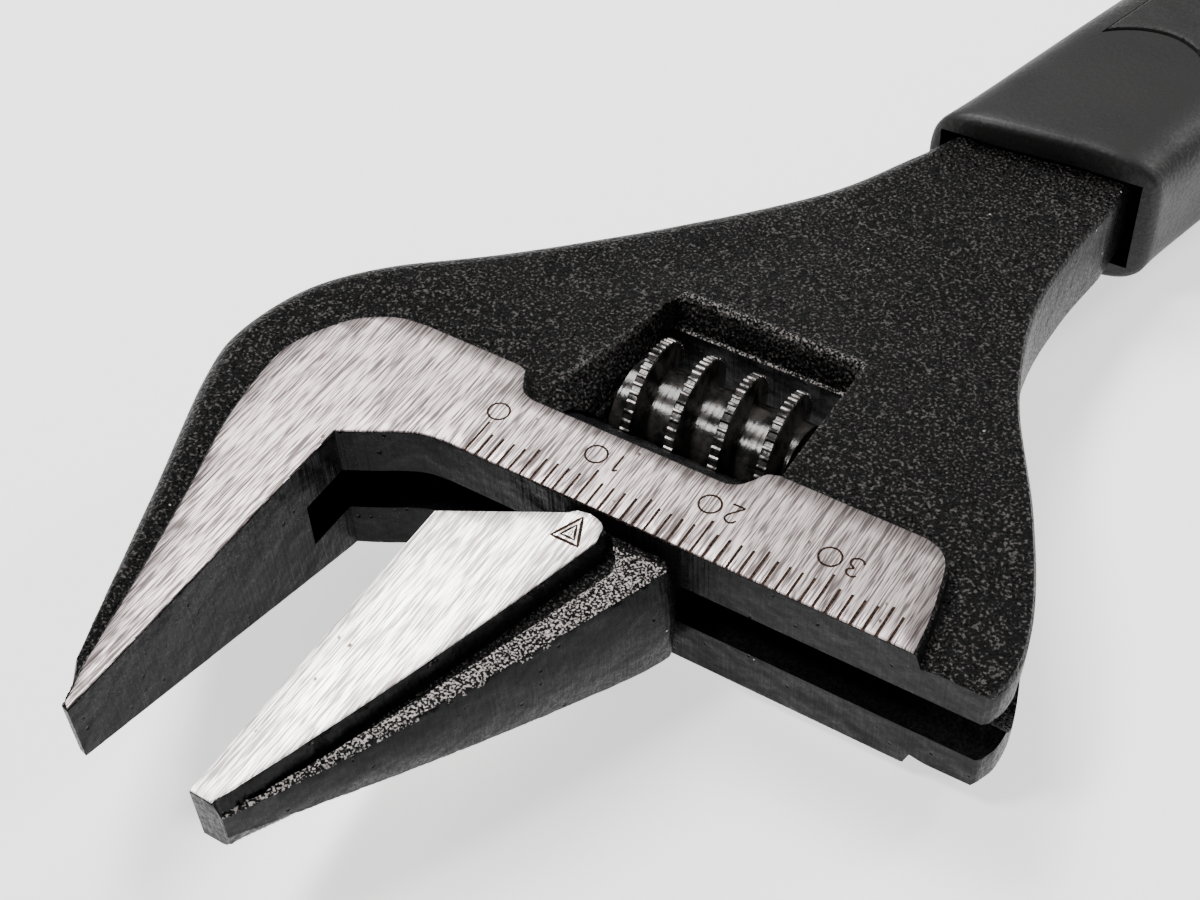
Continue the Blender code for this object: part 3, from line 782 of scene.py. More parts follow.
def waviness(points: Array, size: float) -> Array:
    """Return a gentle, fixed unevenness between -1 and 1 with bumps of about a size in millimetres."""
    x, y = points[:, 0] / size, points[:, 1] / size
    return (np.sin(2.3 * x + 1.7 * np.sin(1.9 * y)) + np.sin(2.9 * y - 1.3 * np.sin(2.1 * x) + 1)
            + np.sin(4.1 * x - 3.7 * y + 2)) / 3


def rounded(distance: Array, radius: Array | float) -> Array:
    """Return how far a quarter-round edge lies below its face, at a distance in from the edge."""
    inward = np.clip(1 - distance / np.maximum(radius, 1e-6), 0, 1)
    return radius * (1 - np.sqrt(1 - inward**2))


def facing(side: int, outer: Surface, inner: Surface) -> tuple[Surface, Surface]:
    """Return a sheet's upper and lower surface on the scale's face (1) or mirrored on the back (-1)."""
    if side > 0:
        return outer, inner
    return lambda flat: -inner(flat), lambda flat: -outer(flat)


@dataclass
class Plate:
    """A raised, ground plate on a forging: its pedestal's profile and its bright top."""

    loop: Array
    top: float = 6.85
    skin: float = 0.1
    wall: float = 0.34
    groove: float = 0.26
    groove_width: float = 1.5

    def raised(self, flat: Array, base: Array) -> Array:
        """Return a forging's height with the pedestal on it."""
        inside = edge_distance(flat, self.loop)[0]
        dip = self.groove * (1 - smoothstep((-inside - self.wall) / self.groove_width))
        dip = np.where(inside < -self.wall - self.groove_width, 0, dip)
        share = smoothstep((inside + self.wall) / self.wall)
        return (base - dip) * (1 - share) + (self.top - self.skin) * share

    def rows(self) -> Array:
        """Return rows of points that follow the pedestal's edge and its groove."""
        gaps = [0.1, 0.02, -0.08, -0.17, -0.26, -0.36, -0.6, -0.95, -1.4, -1.9]
        return beside(self.loop, gaps, 0.45)

    def land(self, bench: Bench, name: str, rise: Surface, side: int, front: Array) -> Object:
        """Make the bright top, a thin closed sheet whose rim is broken.

        Args:
            bench: Where the head stands.
            name: The piece's name.
            rise: How far the face drops at a point, as on a tapering jaw.
            side: 1 for the scale's face, -1 for the back.
            front: The loop of the faces that the sheet is trimmed to.
        """
        rim, under = 0.06, self.skin + 0.12

        def high(flat: Array) -> Array:
            """Return the outer surface."""
            return self.top - rise(flat) - rounded(edge_distance(flat, front)[0], rim)

        def low(flat: Array) -> Array:
            """Return the inner surface."""
            return self.top - rise(flat) - under

        rows = [beside(front, [rim * 0.35, rim], 0.8)]
        sheet = Slab(front, *facing(side, high, low), rows=rows, grid=2.2, edge_step=0.8, least=0.02)
        return sheet.build(bench, name)


@dataclass
class Head:
    """The forging: head, fixed jaw, neck and tang, with its two polished plates and its scale."""

    bench: Bench
    half_forging: float = 5.65
    half_neck: float = 4.35
    jaw_taper: float = 0.26
    throat_y: float = -3.4
    tip_y: float = -33.8
    slot_half: float = 2.25
    bore_y: float = 7.5
    bore_radius: float = 4.7
    window: tuple[float, float, float, float] = (14.8, 9.0, 31.0, 23.3)
    relief_floor: float = 2.65
    pin_hole: float = 2.3
    lean: float = math.radians(15)
    root: tuple[float, float] = (33.6, 57.0)
    tang_length: float = 72.0

    def handle(self, along: float, across: float) -> tuple[float, float]:
        """Return the drawn point at a distance along the handle's axis and to its right."""
        return (self.root[0] + along * math.sin(self.lean) + across * math.cos(self.lean),
                self.root[1] + along * math.cos(self.lean) - across * math.sin(self.lean))

    def on_handle(self, flat: Array) -> tuple[Array, Array]:
        """Return how far drawn points lie along the handle's axis and to its right."""
        x, y = flat[:, 0] - self.root[0], flat[:, 1] - self.root[1]
        return (x * math.sin(self.lean) + y * math.cos(self.lean),
                x * math.cos(self.lean) - y * math.sin(self.lean))

    def opening(self) -> Array:
        """Return the outline of the worm's window."""
        x0, y0, x1, y1 = self.window
        return pairs((x0, y0), (x1, y0), (x1, y1), (x0, y1))

    def front(self) -> Array:
        """Return the gripping face, the throat and the head's front edge."""
        throat = smooth_curve(pairs((0, self.throat_y), (2.3, -2.2), (4.5, -0.95), (6.2, -0.25), (8.2, 0)), 4)
        return np.vstack([[0, self.tip_y], throat, [53.5, 0]])

    def outline(self) -> tuple[Array, Array]:
        """Return the forging's outline and the edge radius at each of its corners."""
        front = self.front()
        right = smooth_curve(pairs((53.9, 0.35), (54.45, 2.2), (54.2, 5.6), (52.6, 10.6), (49.1, 18),
                                   (43.9, 27.5), (40.8, 37.5), (40.5, 46), (41.2, 53)), 6)
        tang = np.array([self.handle(4, 6.9), self.handle(self.tang_length - 3, 5.5),
                         self.handle(self.tang_length, 3), self.handle(self.tang_length, -3),
                         self.handle(self.tang_length - 3, -5.5), self.handle(4, -6.9)])
        left = smooth_curve(pairs((23.1, 52.9), (17.85, 43.5), (8.4, 32.3), (-0.95, 22.75), (-8.8, 16.1),
                                  (-13.6, 10.1), (-15.4, 3.1), (-14.5, -2.7), (-10.2, -13.2),
                                  (-3.7, -29.4)), 8)
        tip = pairs((-1.1, -33.1), (-0.75, -33.6))
        soft = np.interp(left[:, 1], [-29.4, -20, -5, 60], [0.5, 1.1, 1.8, 1.9])
        radii = [np.full(len(front), 0.09), np.full(len(right), 0.45), np.full(len(tang), 0.8), soft,
                 [0.3, 0.12]]
        return np.vstack([front, right, tang, left, tip]), np.concatenate(radii)

    def plate_loop(self) -> Array:
        """Return the pedestal's outline, run out past the front edges."""
        outer = smooth_curve(pairs((-1.35, -31.6), (-2.1, -29.2), (-4, -21.5), (-6.2, -13.6), (-8.3, -6.6),
                                   (-9.3, 0.5), (-8.6, 3.8), (-6.4, 7.4), (-3.4, 9.4), (-0.6, 9.9)), 5)
        down = smooth_curve(pairs((9.4, 9.6), (10, 8.5), (10.6, 7.6), (11.6, 7.2)), 3)
        up = smooth_curve(pairs((28.9, 7.2), (29.8, 7.6), (30.5, 8.5), (31.1, 9.5), (32.1, 9.9)), 3)
        end = smooth_curve(pairs((44.2, 9.9), (45.5, 9.5), (46.4, 8.6), (46.9, 7.2), (47.7, 3.5),
                                 (48.2, -1)), 4)
        behind = np.vstack([pairs((8.6, 9.9)), down, up, end])
        beyond = pairs((48.2, -6), (3, -6), (3, -36), (-0.4, -36))
        return np.vstack([outer[::-1], pairs((-0.9, -33.4)), beyond[::-1], behind[::-1]])

    def land_loop(self, shrink: float = 0.16) -> Array:
        """Return the bright top's outline, trimmed to the front edges."""
        loop = self.plate_loop()
        inner = loop - outward_normals(loop) * shrink
        open_front = ((inner[:, 0] > -0.6) & (inner[:, 1] < 0)) | (inner[:, 1] < self.tip_y + 0.5)
        face = self.front() + (-0.05, 0.05)
        face[-1] = (inner[~open_front & (inner[:, 0] > 40)][:, 0].max(), 0.05)
        tip = pairs((-0.6, self.tip_y + 0.45), (-0.08, self.tip_y + 0.12))
        first = int(np.flatnonzero(open_front)[-1]) + 1
        kept = np.roll(inner, -first, 0)[~np.roll(open_front, -first)]
        return np.vstack([tip[1:], face[1:], kept, tip[:1]])

    def rise(self, flat: Array) -> Array:
        """Return how far the tapering underside of the jaw stands in from the back face."""
        ahead = self.throat_y - flat[:, 1]
        return self.jaw_taper * (np.sqrt(ahead**2 + 0.2) + ahead) / 2

    def base(self, flat: Array) -> Array:
        """Return half the forging's thickness, thinner towards the neck."""
        drop = (self.half_forging - self.half_neck) * smoothstep((flat[:, 1] - 12) / 36)
        return self.half_forging - drop + 0.05 * waviness(flat, 5.5)

    def mouth(self) -> Array:
        """Return the relief's outline on the face, with its corners eased."""
        x0, y0, x1, y1 = self.window
        return pairs((x0 - 2.6, y0 - 1.6), (x1 + 0.2, y0 - 1.6), (x1 + 0.75, y0 - 1.0), (x1 + 0.8, y1 + 1.2),
                     (x1 + 0.4, y1 + 1.55), (x0 + 1.0, y1 + 1.75), (x0 + 0.2, y1 + 1.5), (x0 - 3.9, y0 + 0.3),
                     (x0 - 3.8, y0 - 0.8))

    def relief(self, flat: Array, height: Array) -> Array:
        """Return the height with the relief round the worm's window sunk into it."""
        outside = np.maximum(-edge_distance(flat, self.opening())[0], 0)
        within = np.maximum(edge_distance(flat, self.mouth())[0] + 0.05 * waviness(flat, 1.3), 0)
        sloping = np.maximum(outside - 0.35, 0)
        down = np.where(within > 0, within / np.maximum(sloping + within, 1e-6), 0)
        return height + (self.relief_floor - height) * down**1.5 - rounded(outside, 0.2)

    def build_forging(self) -> Object:
        """Make the forging and cut its slot, bore, window and pin hole."""
        loop, radii = self.outline()
        plate = Plate(self.plate_loop())

        def upper(flat: Array) -> Array:
            """Return the height over the middle plane, before any taper."""
            height = self.relief(flat, plate.raised(flat, self.base(flat)))
            return height - rounded(*edge_radius(flat, loop, radii))

        hole = self.opening()
        rows = [beside(loop, [0.05, 0.1, 0.22, 0.4, 0.65, 0.95, 1.3, 1.7, 2.2], 0.5), plate.rows(),
                beside(hole, [-0.05, -0.11, -0.22, -0.35, -0.6, -0.9, -1.25, -1.6, -2, -2.6, -3.3], 0.45),
                beside(self.mouth(), [0.55, 0.35, 0.17, 0, -0.17], 0.3)]

        def bulge(flat: Array) -> Array:
            """Return how far the side wall crowns."""
            distance, radius = edge_radius(flat, loop, radii)
            return np.where(np.abs(distance) < 0.01, 0.3 * smoothstep((radius - 0.5) / 1.2), 0)

        slab = Slab(loop, upper, lambda flat: self.rise(flat) - upper(flat), [hole], rows, 1.0, bulge=bulge)
        forging = slab.build(self.bench, "body_forging")
        self.cut(forging)
        return forging

    def cut(self, forging: Object) -> None:
        """Cut the jaw's slot, the shank's bore and the pin's hole."""
        notch = smooth_curve(pairs((-4, -3), (-2.6, -6), (0, -8), (3, -9)), 6)
        slot = np.vstack([notch, pairs((90, -8), (90, self.bore_y), (-4, self.bore_y))])
        combine(forging, self.bench.prism("slot", slot, -self.slot_half, self.slot_half), Join.CUT)
        combine(forging, self.bench.rod("bore", self.bore_radius, -10.5, 90, self.bore_y, 96), Join.CUT)
        worm_y = self.bench.WORM_FROM_EDGE
        past_window = self.window[2] + 3.8
        combine(forging, self.bench.rod("hole", self.pin_hole, -90, past_window, worm_y, 48), Join.CUT)

    def ground(self, centres: Array, normals: Array) -> Array:
        """Say which faces are ground: upright ones, except the forged left flank."""
        drawn = self.bench.drawn(centres)
        upright = np.abs(normals[:, 2]) < 0.45
        flank = (normals[:, 0] < -0.1) & (edge_distance(drawn[:, :2], self.outline()[0])[0] < 1.0)
        deep = (drawn[:, 1] > 8) & (drawn[:, 0] > 8) & (drawn[:, 0] < 34) & (np.abs(drawn[:, 2]) > 2.7)
        slot = (np.abs(drawn[:, 2]) < self.slot_half + 0.05) & (drawn[:, 1] < self.bore_y)
        return (upright & ~flank & ~deep) | slot

    def wear_and_highlight(self, centres: Array, normals: Array) -> Array:
        """Say how much painted highlight faces get, standing in for the light caught there: much on the
        window's far rim, less on its relief's lip, most at the lip's far side.
        """
        drawn = self.bench.drawn(centres)
        flat, high = drawn[:, :2], np.abs(drawn[:, 2])
        x0, y0, x1, y1 = self.window
        # Painted highlight: a thin bright band along the ledge of the window's far wall.
        rim = (np.abs(flat[:, 1] - y1 - 0.1) < 0.13) & (flat[:, 0] > x0) & (flat[:, 0] < x1) & (high > 2.4)
        lip = np.exp(-((edge_distance(flat, self.mouth())[0] - 0.1) / 0.28) ** 2) * (high > 4)
        # Painted highlight: the lip is brightest on its far side, which turns towards the lights, dimmer on
        # the sides and unlit on the near side.
        far = np.where(flat[:, 1] > y1 + 0.8, 0.55, np.where(flat[:, 1] > y0 + 2, 0.2, 0))
        return np.where(rim, 0.8, lip * np.where(np.abs(normals[:, 2]) > 0.3, far, 0))

    def build(self) -> None:
        """Make and dress the head's pieces."""
        forging = self.build_forging()
        shade(forging, 32)
        mark_faces(forging, "ground", self.ground)
        mark_faces(forging, "wear_and_highlight", self.wear_and_highlight)
        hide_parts("body")
        dress(forging, "frame", ForgedBlack())
        plate = Plate(self.plate_loop())
        loop = self.land_loop()
        top = plate.land(self.bench, "scale_plate", flat_rise, 1, loop)
        back = plate.land(self.bench, "back_plate", self.rise, -1, loop)
        Scale(self.bench, plate.top).engrave(top)
        for land in (top, back):
            dress(land, "frame", BrightSteel())


@dataclass
class Scale:
    """The millimetre scale on the head's plate: ticks and the numbers of each tenth one."""

    bench: Bench
    top: float
    first_x: float = 10.0
    count: int = 37
    tick_width: float = 0.23
    short: float = 2.44
    middle: float = 2.93
    long: float = 3.42
    depth: float = 0.05
    digit_height: float = 1.75
    digit_step: float = 2.0
    digit_middle_y: float = 4.7
    stroke: float = 0.19

    def ticks(self, name: str, grow: float, low: float, high: float) -> Object:
        """Make the ticks from one bar, repeated and stretched by its number."""
        tree = Repeater(name, Engraving())
        count = tree.input("Ticks", self.count)
        step = tree.input("Step", 1.0 * MM)
        width = tree.input("Width", (self.tick_width + 2 * grow) * MM)
        lengths = [tree.input(label, (value + grow) * MM) for label, value in
                   (("Short", self.short), ("Middle", self.middle), ("Long", self.long))]
        start = self.bench.place([self.first_x, 0.0, (low + high) / 2])
        index = tree.node("GeometryNodeInputIndex").outputs[0]
        fifth = tree.math("LESS_THAN", tree.math("MODULO", index, 5.0), 0.5)
        tenth = tree.math("LESS_THAN", tree.math("MODULO", index, 10.0), 0.5)
        length = lengths[0]
        for chosen, shorter, longer in ((fifth, *lengths[:2]), (tenth, *lengths[1:])):
            more = tree.math("MULTIPLY", chosen, tree.math("SUBTRACT", longer, shorter))
            length = tree.math("ADD", length, more)
        line = tree.node("GeometryNodeMeshLine", None, Count=count, Offset=tree.vector(step, 0.0, 0.0),
                         Start_Location=tuple(start))
        bar = tree.node("GeometryNodeMeshCube", None, Size=(1.0, 1.0, (high - low) * MM))
        lifted = tree.node("GeometryNodeTransform", None, Geometry=bar.outputs[0],
                           Translation=(0.0, 0.5, 0.0))
        placed = tree.node("GeometryNodeInstanceOnPoints", None, Points=line.outputs[0],
                           Instance=lifted.outputs[0], Scale=tree.vector(width, length, 1.0))
        return tree.piece(placed.outputs[0])

    def figures(self) -> list[Array]:
        """Return each figure's strokes as drawn lines, turned to be read from the handle."""
        turn = np.arange(33) / 32 * 2 * math.pi
        zero = [np.c_[np.sin(turn), np.cos(turn)]]
        one = [pairs((-0.3, 0.7), (0.06, 0.98)), pairs((0.08, 1.0), (0.08, -1.0))]
        two = [smooth_curve(pairs((-0.55, 0.55), (-0.3, 0.92), (0.1, 1.0), (0.48, 0.75), (0.45, 0.3),
                                  (0.0, -0.3), (-0.55, -0.92)), 5), pairs((-0.62, -1.0), (0.62, -1.0))]
        three = [smooth_curve(pairs((-0.5, 0.78), (-0.1, 1.0), (0.38, 0.85), (0.45, 0.42), (0.02, 0.1)), 5),
                 smooth_curve(pairs((0.02, 0.1), (0.5, -0.2), (0.55, -0.7), (0.1, -1.0), (-0.3, -0.95),
                                    (-0.58, -0.65)), 5)]
        strokes = []
        for number, digits in enumerate(([zero], [one, zero], [two, zero], [three, zero])):
            for place, digit in enumerate(digits):
                across = (place - (len(digits) - 1) / 2) * self.digit_step
                middle = (self.first_x + 10 * number - across, self.digit_middle_y)
                strokes += [middle - stroke * self.digit_height / 2 for stroke in digit]
        return strokes

    def engrave(self, land: Object) -> None:
        """Cut the marks through the bright top and lay their dark floors in."""
        high, low = self.top + 0.1, self.top - 0.5
        combine(land, self.ticks("tick_cutter", 0, low, high), Join.CUT)
        for line in self.figures():
            combine(land, ribbon(self.bench, "figure_cutter", line, self.stroke, low, high), Join.CUT)
        shade(land, 30)
        floor = (self.top - self.depth - 0.1, self.top - self.depth)
        ticks = self.ticks("scale_ticks", 0.03, *floor)
        figures = [ribbon(self.bench, f"figure_{i}", line, self.stroke + 0.06, *floor)
                   for i, line in enumerate(self.figures())]
        dress(joined("scale_marks", [ticks, *figures]), "frame", Engraving())


def ribbon(bench: Bench, name: str, line: Array, width: float, low: float, high: float) -> Object:
    """Make a closed flat band along a drawn line; a line that meets itself becomes a ring."""
    closed = np.linalg.norm(line[0] - line[-1]) < 1e-6
    if closed:
        line = line[:-1]
        ahead = np.roll(line, -1, 0) - np.roll(line, 1, 0)
    else:
        ahead = np.gradient(line, axis=0)
    ahead /= np.linalg.norm(ahead, axis=1)[:, None]
    side = np.c_[ahead[:, 1], -ahead[:, 0]] * width / 2
    count = len(line)
    layers = [np.c_[line + side, np.full(count, low)], np.c_[line - side, np.full(count, low)],
              np.c_[line + side, np.full(count, high)], np.c_[line - side, np.full(count, high)]]
    faces = []
    for i in range(count if closed else count - 1):
        j = (i + 1) % count
        for a, b in ((2, 3), (1, 0), (0, 2), (3, 1)):
            faces.append([a * count + i, a * count + j, b * count + j, b * count + i])
    if not closed:
        faces += [[0, 2 * count, 3 * count, count], [2 * count - 1, 4 * count - 1, 3 * count - 1, count - 1]]
    return bench.mesh(name, np.vstack(layers), faces)


def outward(piece: Object) -> None:
    """Turn a closed piece's faces outwards."""
    with editing(piece) as net:
        bmesh.ops.recalc_face_normals(net, faces=net.faces)


def joined(name: str, pieces: Sequence[Object]) -> Object:
    """Join pieces into one object and remove them."""
    whole = placed_object(name, bpy.data.meshes.new(name))
    with editing(whole) as net:
        for piece in pieces:
            net.from_mesh(piece.data)
    for piece in pieces:
        bpy.data.objects.remove(piece, do_unlink=True)
    shade(whole)
    return whole


# ---------------------------------------------------------------- movable jaw


@dataclass
class Thread:
    """A right-hand helical thread along X round the worm's axis."""

    bench: Bench
    radius: float = 6.3
    root: float = 4.2
    pitch: float = 4.0
    crest_at_top: float = 17.0
    crest_half: float = 0.6
    base_half: float = 1.0
    steps: int = 96

    def profile(self, grow: float) -> Array:
        """Return one pitch of the thread as offsets along the axis and radii."""
        root, crest = self.root + grow, self.radius + grow
        top, foot = self.crest_half + grow, self.base_half + grow
        half = self.pitch / 2
        return pairs((-half, root), (-foot - 0.25, root + 0.03), (-foot, root + 0.28), (-top, crest - 0.1),
                     (-top + 0.1, crest), (top - 0.1, crest), (top, crest - 0.1), (foot, root + 0.28),
                     (foot + 0.25, root + 0.03))

    def solid(self, name: str, start: float, stop: float, grow: float) -> Object:
        """Make a closed thread that reaches past two X places."""
        profile = self.profile(grow)
        count = len(profile)
        turns = math.ceil((stop - start) / self.pitch) + 3
        first = self.crest_at_top + self.pitch * math.floor((start - self.crest_at_top) / self.pitch - 1)
        step = np.arange(turns * self.steps + 1)
        angle = (2 * np.pi * step / self.steps + np.pi / 2)[:, None]
        x = first + self.pitch * step[:, None] / self.steps + profile[:, 0]
        y = self.bench.WORM_FROM_EDGE + profile[:, 1] * np.cos(angle)
        z = profile[:, 1] * np.sin(angle)
        points = np.stack([x, y, z], 2).reshape(-1, 3)
        faces = []
        for i in range(len(step) - 1):
            here, after = i * count, (i + 1) * count
            faces += [[here + a, here + a + 1, after + a + 1, after + a] for a in range(count - 1)]
            if i + self.steps + 1 < len(step):
                far, further = (i + self.steps) * count, (i + self.steps + 1) * count
                faces.append([here + count - 1, far, further, after + count - 1])
        piece = self.bench.mesh(name, points, faces)
        self.close(piece)
        return piece

    def close(self, piece: Object) -> None:
        """Close a thread's two open ends with fans to points on its axis."""
        axis = self.bench.place([0, self.bench.WORM_FROM_EDGE, 0])
        with editing(piece) as net:
            loose = [edge for edge in net.edges if edge.is_boundary]
            centre = sum(edge.verts[0].co.x for edge in loose) / len(loose)
            for side in (-1, 1):
                rim = [edge for edge in loose if side * (edge.verts[0].co.x - centre) > 0]
                hub = net.verts.new((sum(edge.verts[0].co.x for edge in rim) / len(rim), axis[1], axis[2]))
                for edge in rim:
                    net.faces.new((edge.verts[0], edge.verts[1], hub))
            bmesh.ops.recalc_face_normals(net, faces=net.faces)


@dataclass
class MovableJaw:
    """The sliding jaw: blade, bright plates, web and shank with its rack."""

    bench: Bench
    head: Head
    thread: Thread
    face_x: float = 11.5
    tip_y: float = -34.4
    base_width: float = 17.5
    tip_width: float = 2.5
    plate_base: float = 12.8
    plate_tip: float = 2.0
    strip_z: float = 5.35
    band_depth: float = 0.55
    band_share: float = 0.34
    web_half: float = 1.95
    shank_radius: float = 4.4
    shank: tuple[float, float] = (1.5, 31.5)
    fit: float = 0.3

    def side(self, base_width: float, tip_width: float, belly: float, base_y: float = -1.5) -> Array:
        """Return the blade's outer side from the tip, with a bow of the given depth."""
        share = np.linspace(0, 1, 25)
        width = tip_width + (base_width - tip_width) * share + belly * 4 * share * (1 - share)
        return np.c_[self.face_x + width, self.tip_y + (base_y - self.tip_y) * share]

    def outline(self) -> tuple[Array, Array]:
        """Return the blade's outline and the edge radius at each of its corners."""
        x = self.face_x
        side = self.side(self.base_width, self.tip_width, 0.6)
        end = x + self.base_width
        corner = smooth_curve(pairs((end - 0.05, -1.1), (end - 0.4, -0.5), (end - 1.2, -self.fit)), 3)
        back = pairs((x + 9.9, -self.fit), (x + 9.4, -0.7), (x + 8.7, -1.2), (x, -6.1))
        radii = [[0.12], np.interp(side[:, 1], [-34, -30, -1], [0.15, 0.35, 0.5]), np.full(len(corner), 0.5),
                 [0.2, 0.12, 0.12, 0.09]]
        return np.vstack([[x, self.tip_y], side, corner, back]), np.concatenate(radii)

    def plate_loop(self, shrink: float = 0.0) -> Array:
        """Return the plate's outline, run out past the gripping face or trimmed to the front edges."""
        x = self.face_x
        side = self.side(self.plate_base - 0.6, self.plate_tip, 0.4, -2.6)
        side[:, 0] -= shrink * 0.9
        end = x + self.plate_base
        corner = smooth_curve(pairs((end - 0.7, -2.0), (end - 0.9, -1.2), (end - 1.5, -0.75),
                                    (end - 2.4, -0.55)), 3)
        corner[:, 0] -= shrink
        if shrink:
            face = pairs((x + 9.3, -0.75), (x + 8.68, -1.3), (x + 0.05, -6.13), (x + 0.05, self.tip_y + 0.06),
                         (x + self.plate_tip - shrink, self.tip_y + 0.06))
            return np.vstack([side[1:], corner, face])
        beyond = pairs((x + 9.2, -0.45), (x + 8.0, 1), (x - 3, -4), (x - 3, self.tip_y - 3),
                       (x + 2, self.tip_y - 3))
        return np.vstack([side, corner, beyond])

    def build_blade(self) -> Object:
        """Make the blade between its two cast faces."""
        loop, radii = self.outline()
        plate = Plate(self.plate_loop(), wall=0.3)

        def upper(flat: Array) -> Array:
            """Return the height over the middle plane, before the taper."""
            distance, radius = edge_radius(flat, loop, radii)
            outside = -edge_distance(flat, plate.loop)[0] + 0.04 * waviness(flat, 1.7)
            across = outside / np.maximum(outside + distance, 1e-6)
            strip = self.strip_z + 0.06 * waviness(flat, 0.8)
            band = strip - self.band_depth * (1 - smoothstep((across - self.band_share) / 0.1))
            share = smoothstep((plate.wall - np.maximum(outside, 0)) / plate.wall)
            raised = plate.top - plate.skin
            height = np.where(outside < 0, raised, band + (raised - band) * share)
            return height - rounded(distance, radius)

        rows = [beside(loop, [0.05, 0.1, 0.2, 0.35, 0.55], 0.4),
                beside(plate.loop, [0.12, 0.02, -0.1, -0.2, -0.32, *np.arange(-0.5, -3.6, -0.16)], 0.3)]

        def bulge(flat: Array) -> Array:
            """Return how far the outer side crowns."""
            outer = (flat[:, 0] - self.face_x > 1.5) & (flat[:, 1] < -1)
            return np.where(outer, 0.4 * smoothstep((flat[:, 1] - self.tip_y - 2) / 12), 0)

        slab = Slab(loop, upper, lambda flat: self.head.rise(flat) - upper(flat), (), rows, 0.9, bulge=bulge)
        return slab.build(self.bench, "movable_jaw_forging")

    def build_web(self) -> Object:
        """Make the web between blade and shank, rounded where it meets the blade."""
        x = self.face_x
        loop = pairs((x + 5.7, -3), (x + self.base_width - 1.6, -2.2), (x + self.base_width - 1.0, -0.2),
                     (x + self.base_width - 1.0, self.head.bore_y), (x + 5.7, self.head.bore_y))
        return self.bench.prism("web", loop, -self.web_half, self.web_half)

    def ground(self, centres: Array, normals: Array) -> Array:
        """Say which faces are ground: all but the cast strips and bands."""
        drawn = self.bench.drawn(centres)
        cast = (np.abs(normals[:, 2]) > 0.5) & (drawn[:, 1] < -0.25)
        return ~cast

    def wear_and_highlight(self, centres: Array, normals: Array) -> Array:
        """Say which faces are worn bright: the outer part of the cast strips."""
        drawn = self.bench.drawn(centres)
        outside = -edge_distance(drawn[:, :2], self.plate_loop())[0]
        within = edge_distance(drawn[:, :2], self.outline()[0])[0]
        across = outside / np.maximum(outside + within, 1e-6)
        return (across > self.band_share + 0.03) & (np.abs(normals[:, 2]) > 0.5) & (drawn[:, 1] < -1.3)

    def pointer(self, low: float, high: float, grow: float) -> list[Object]:
        """Make the nested triangle that points at the scale, and its short line."""
        x, apex, base, half = self.face_x + 10.0, -1.15, -3.7, 1.15
        pieces = []
        for number, (inset, stroke) in enumerate(((0.0, 0.27), (0.5, 0.24), (0.84, 0.12))):
            middle = np.array([x, (apex + 2 * base) / 3])
            corners = pairs((x, apex), (x - half, base), (x + half, base))
            line = subdivided(middle + (corners - middle) * (1 - inset), 0.5)
            line = np.vstack([line, line[0]])
            pieces.append(ribbon(self.bench, f"pointer_{number}", line, stroke + grow, low, high))
        return pieces

    def build(self) -> None:
        """Make and dress the jaw's pieces."""
        jaw = self.build_blade()
        combine(jaw, self.build_web(), Join.ADD)
        start, stop = self.shank
        combine(jaw, self.bench.rod("shank", self.shank_radius, start, stop, self.head.bore_y, 96), Join.ADD)
        combine(jaw, self.thread.solid("rack", start - 4, stop + 4, self.fit), Join.CUT)
        shade(jaw, 32)
        mark_faces(jaw, "ground", self.ground)
        mark_faces(jaw, "wear_and_highlight", self.wear_and_highlight)
        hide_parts("movable_jaw")
        dress(jaw, "jaw", ForgedBlack())
        plate = Plate(self.plate_loop())
        loop = self.plate_loop(0.12)
        top = plate.land(self.bench, "jaw_top_plate", flat_rise, 1, loop)
        back = plate.land(self.bench, "jaw_back_plate", self.head.rise, -1, loop)
        for cutter in self.pointer(plate.top - 0.5, plate.top + 0.1, 0):
            combine(top, cutter, Join.CUT)
        shade(top, 30)
        marks = joined("pointer_marks", self.pointer(plate.top - 0.15, plate.top - 0.05, 0.06))
        dress(marks, "jaw", Engraving())
        # The jaw's plates take a much lighter copy of the bright steel than the head's: painted light, for
        # the jaw lying nearest the key light's mirror direction.
        for land in (top, back):
            dress(land, "jaw",
                  BrightSteel("bright_jaw_steel_lit_copy", (0.36, 0.32, 0.305), (1.0, 0.95, 0.93), 0.4))


def flat_rise(flat: Array) -> Array:
    """Return no rise, for a face without a taper."""
    return np.zeros(len(flat))


# ---------------------------------------------------------------- worm, pin and spring


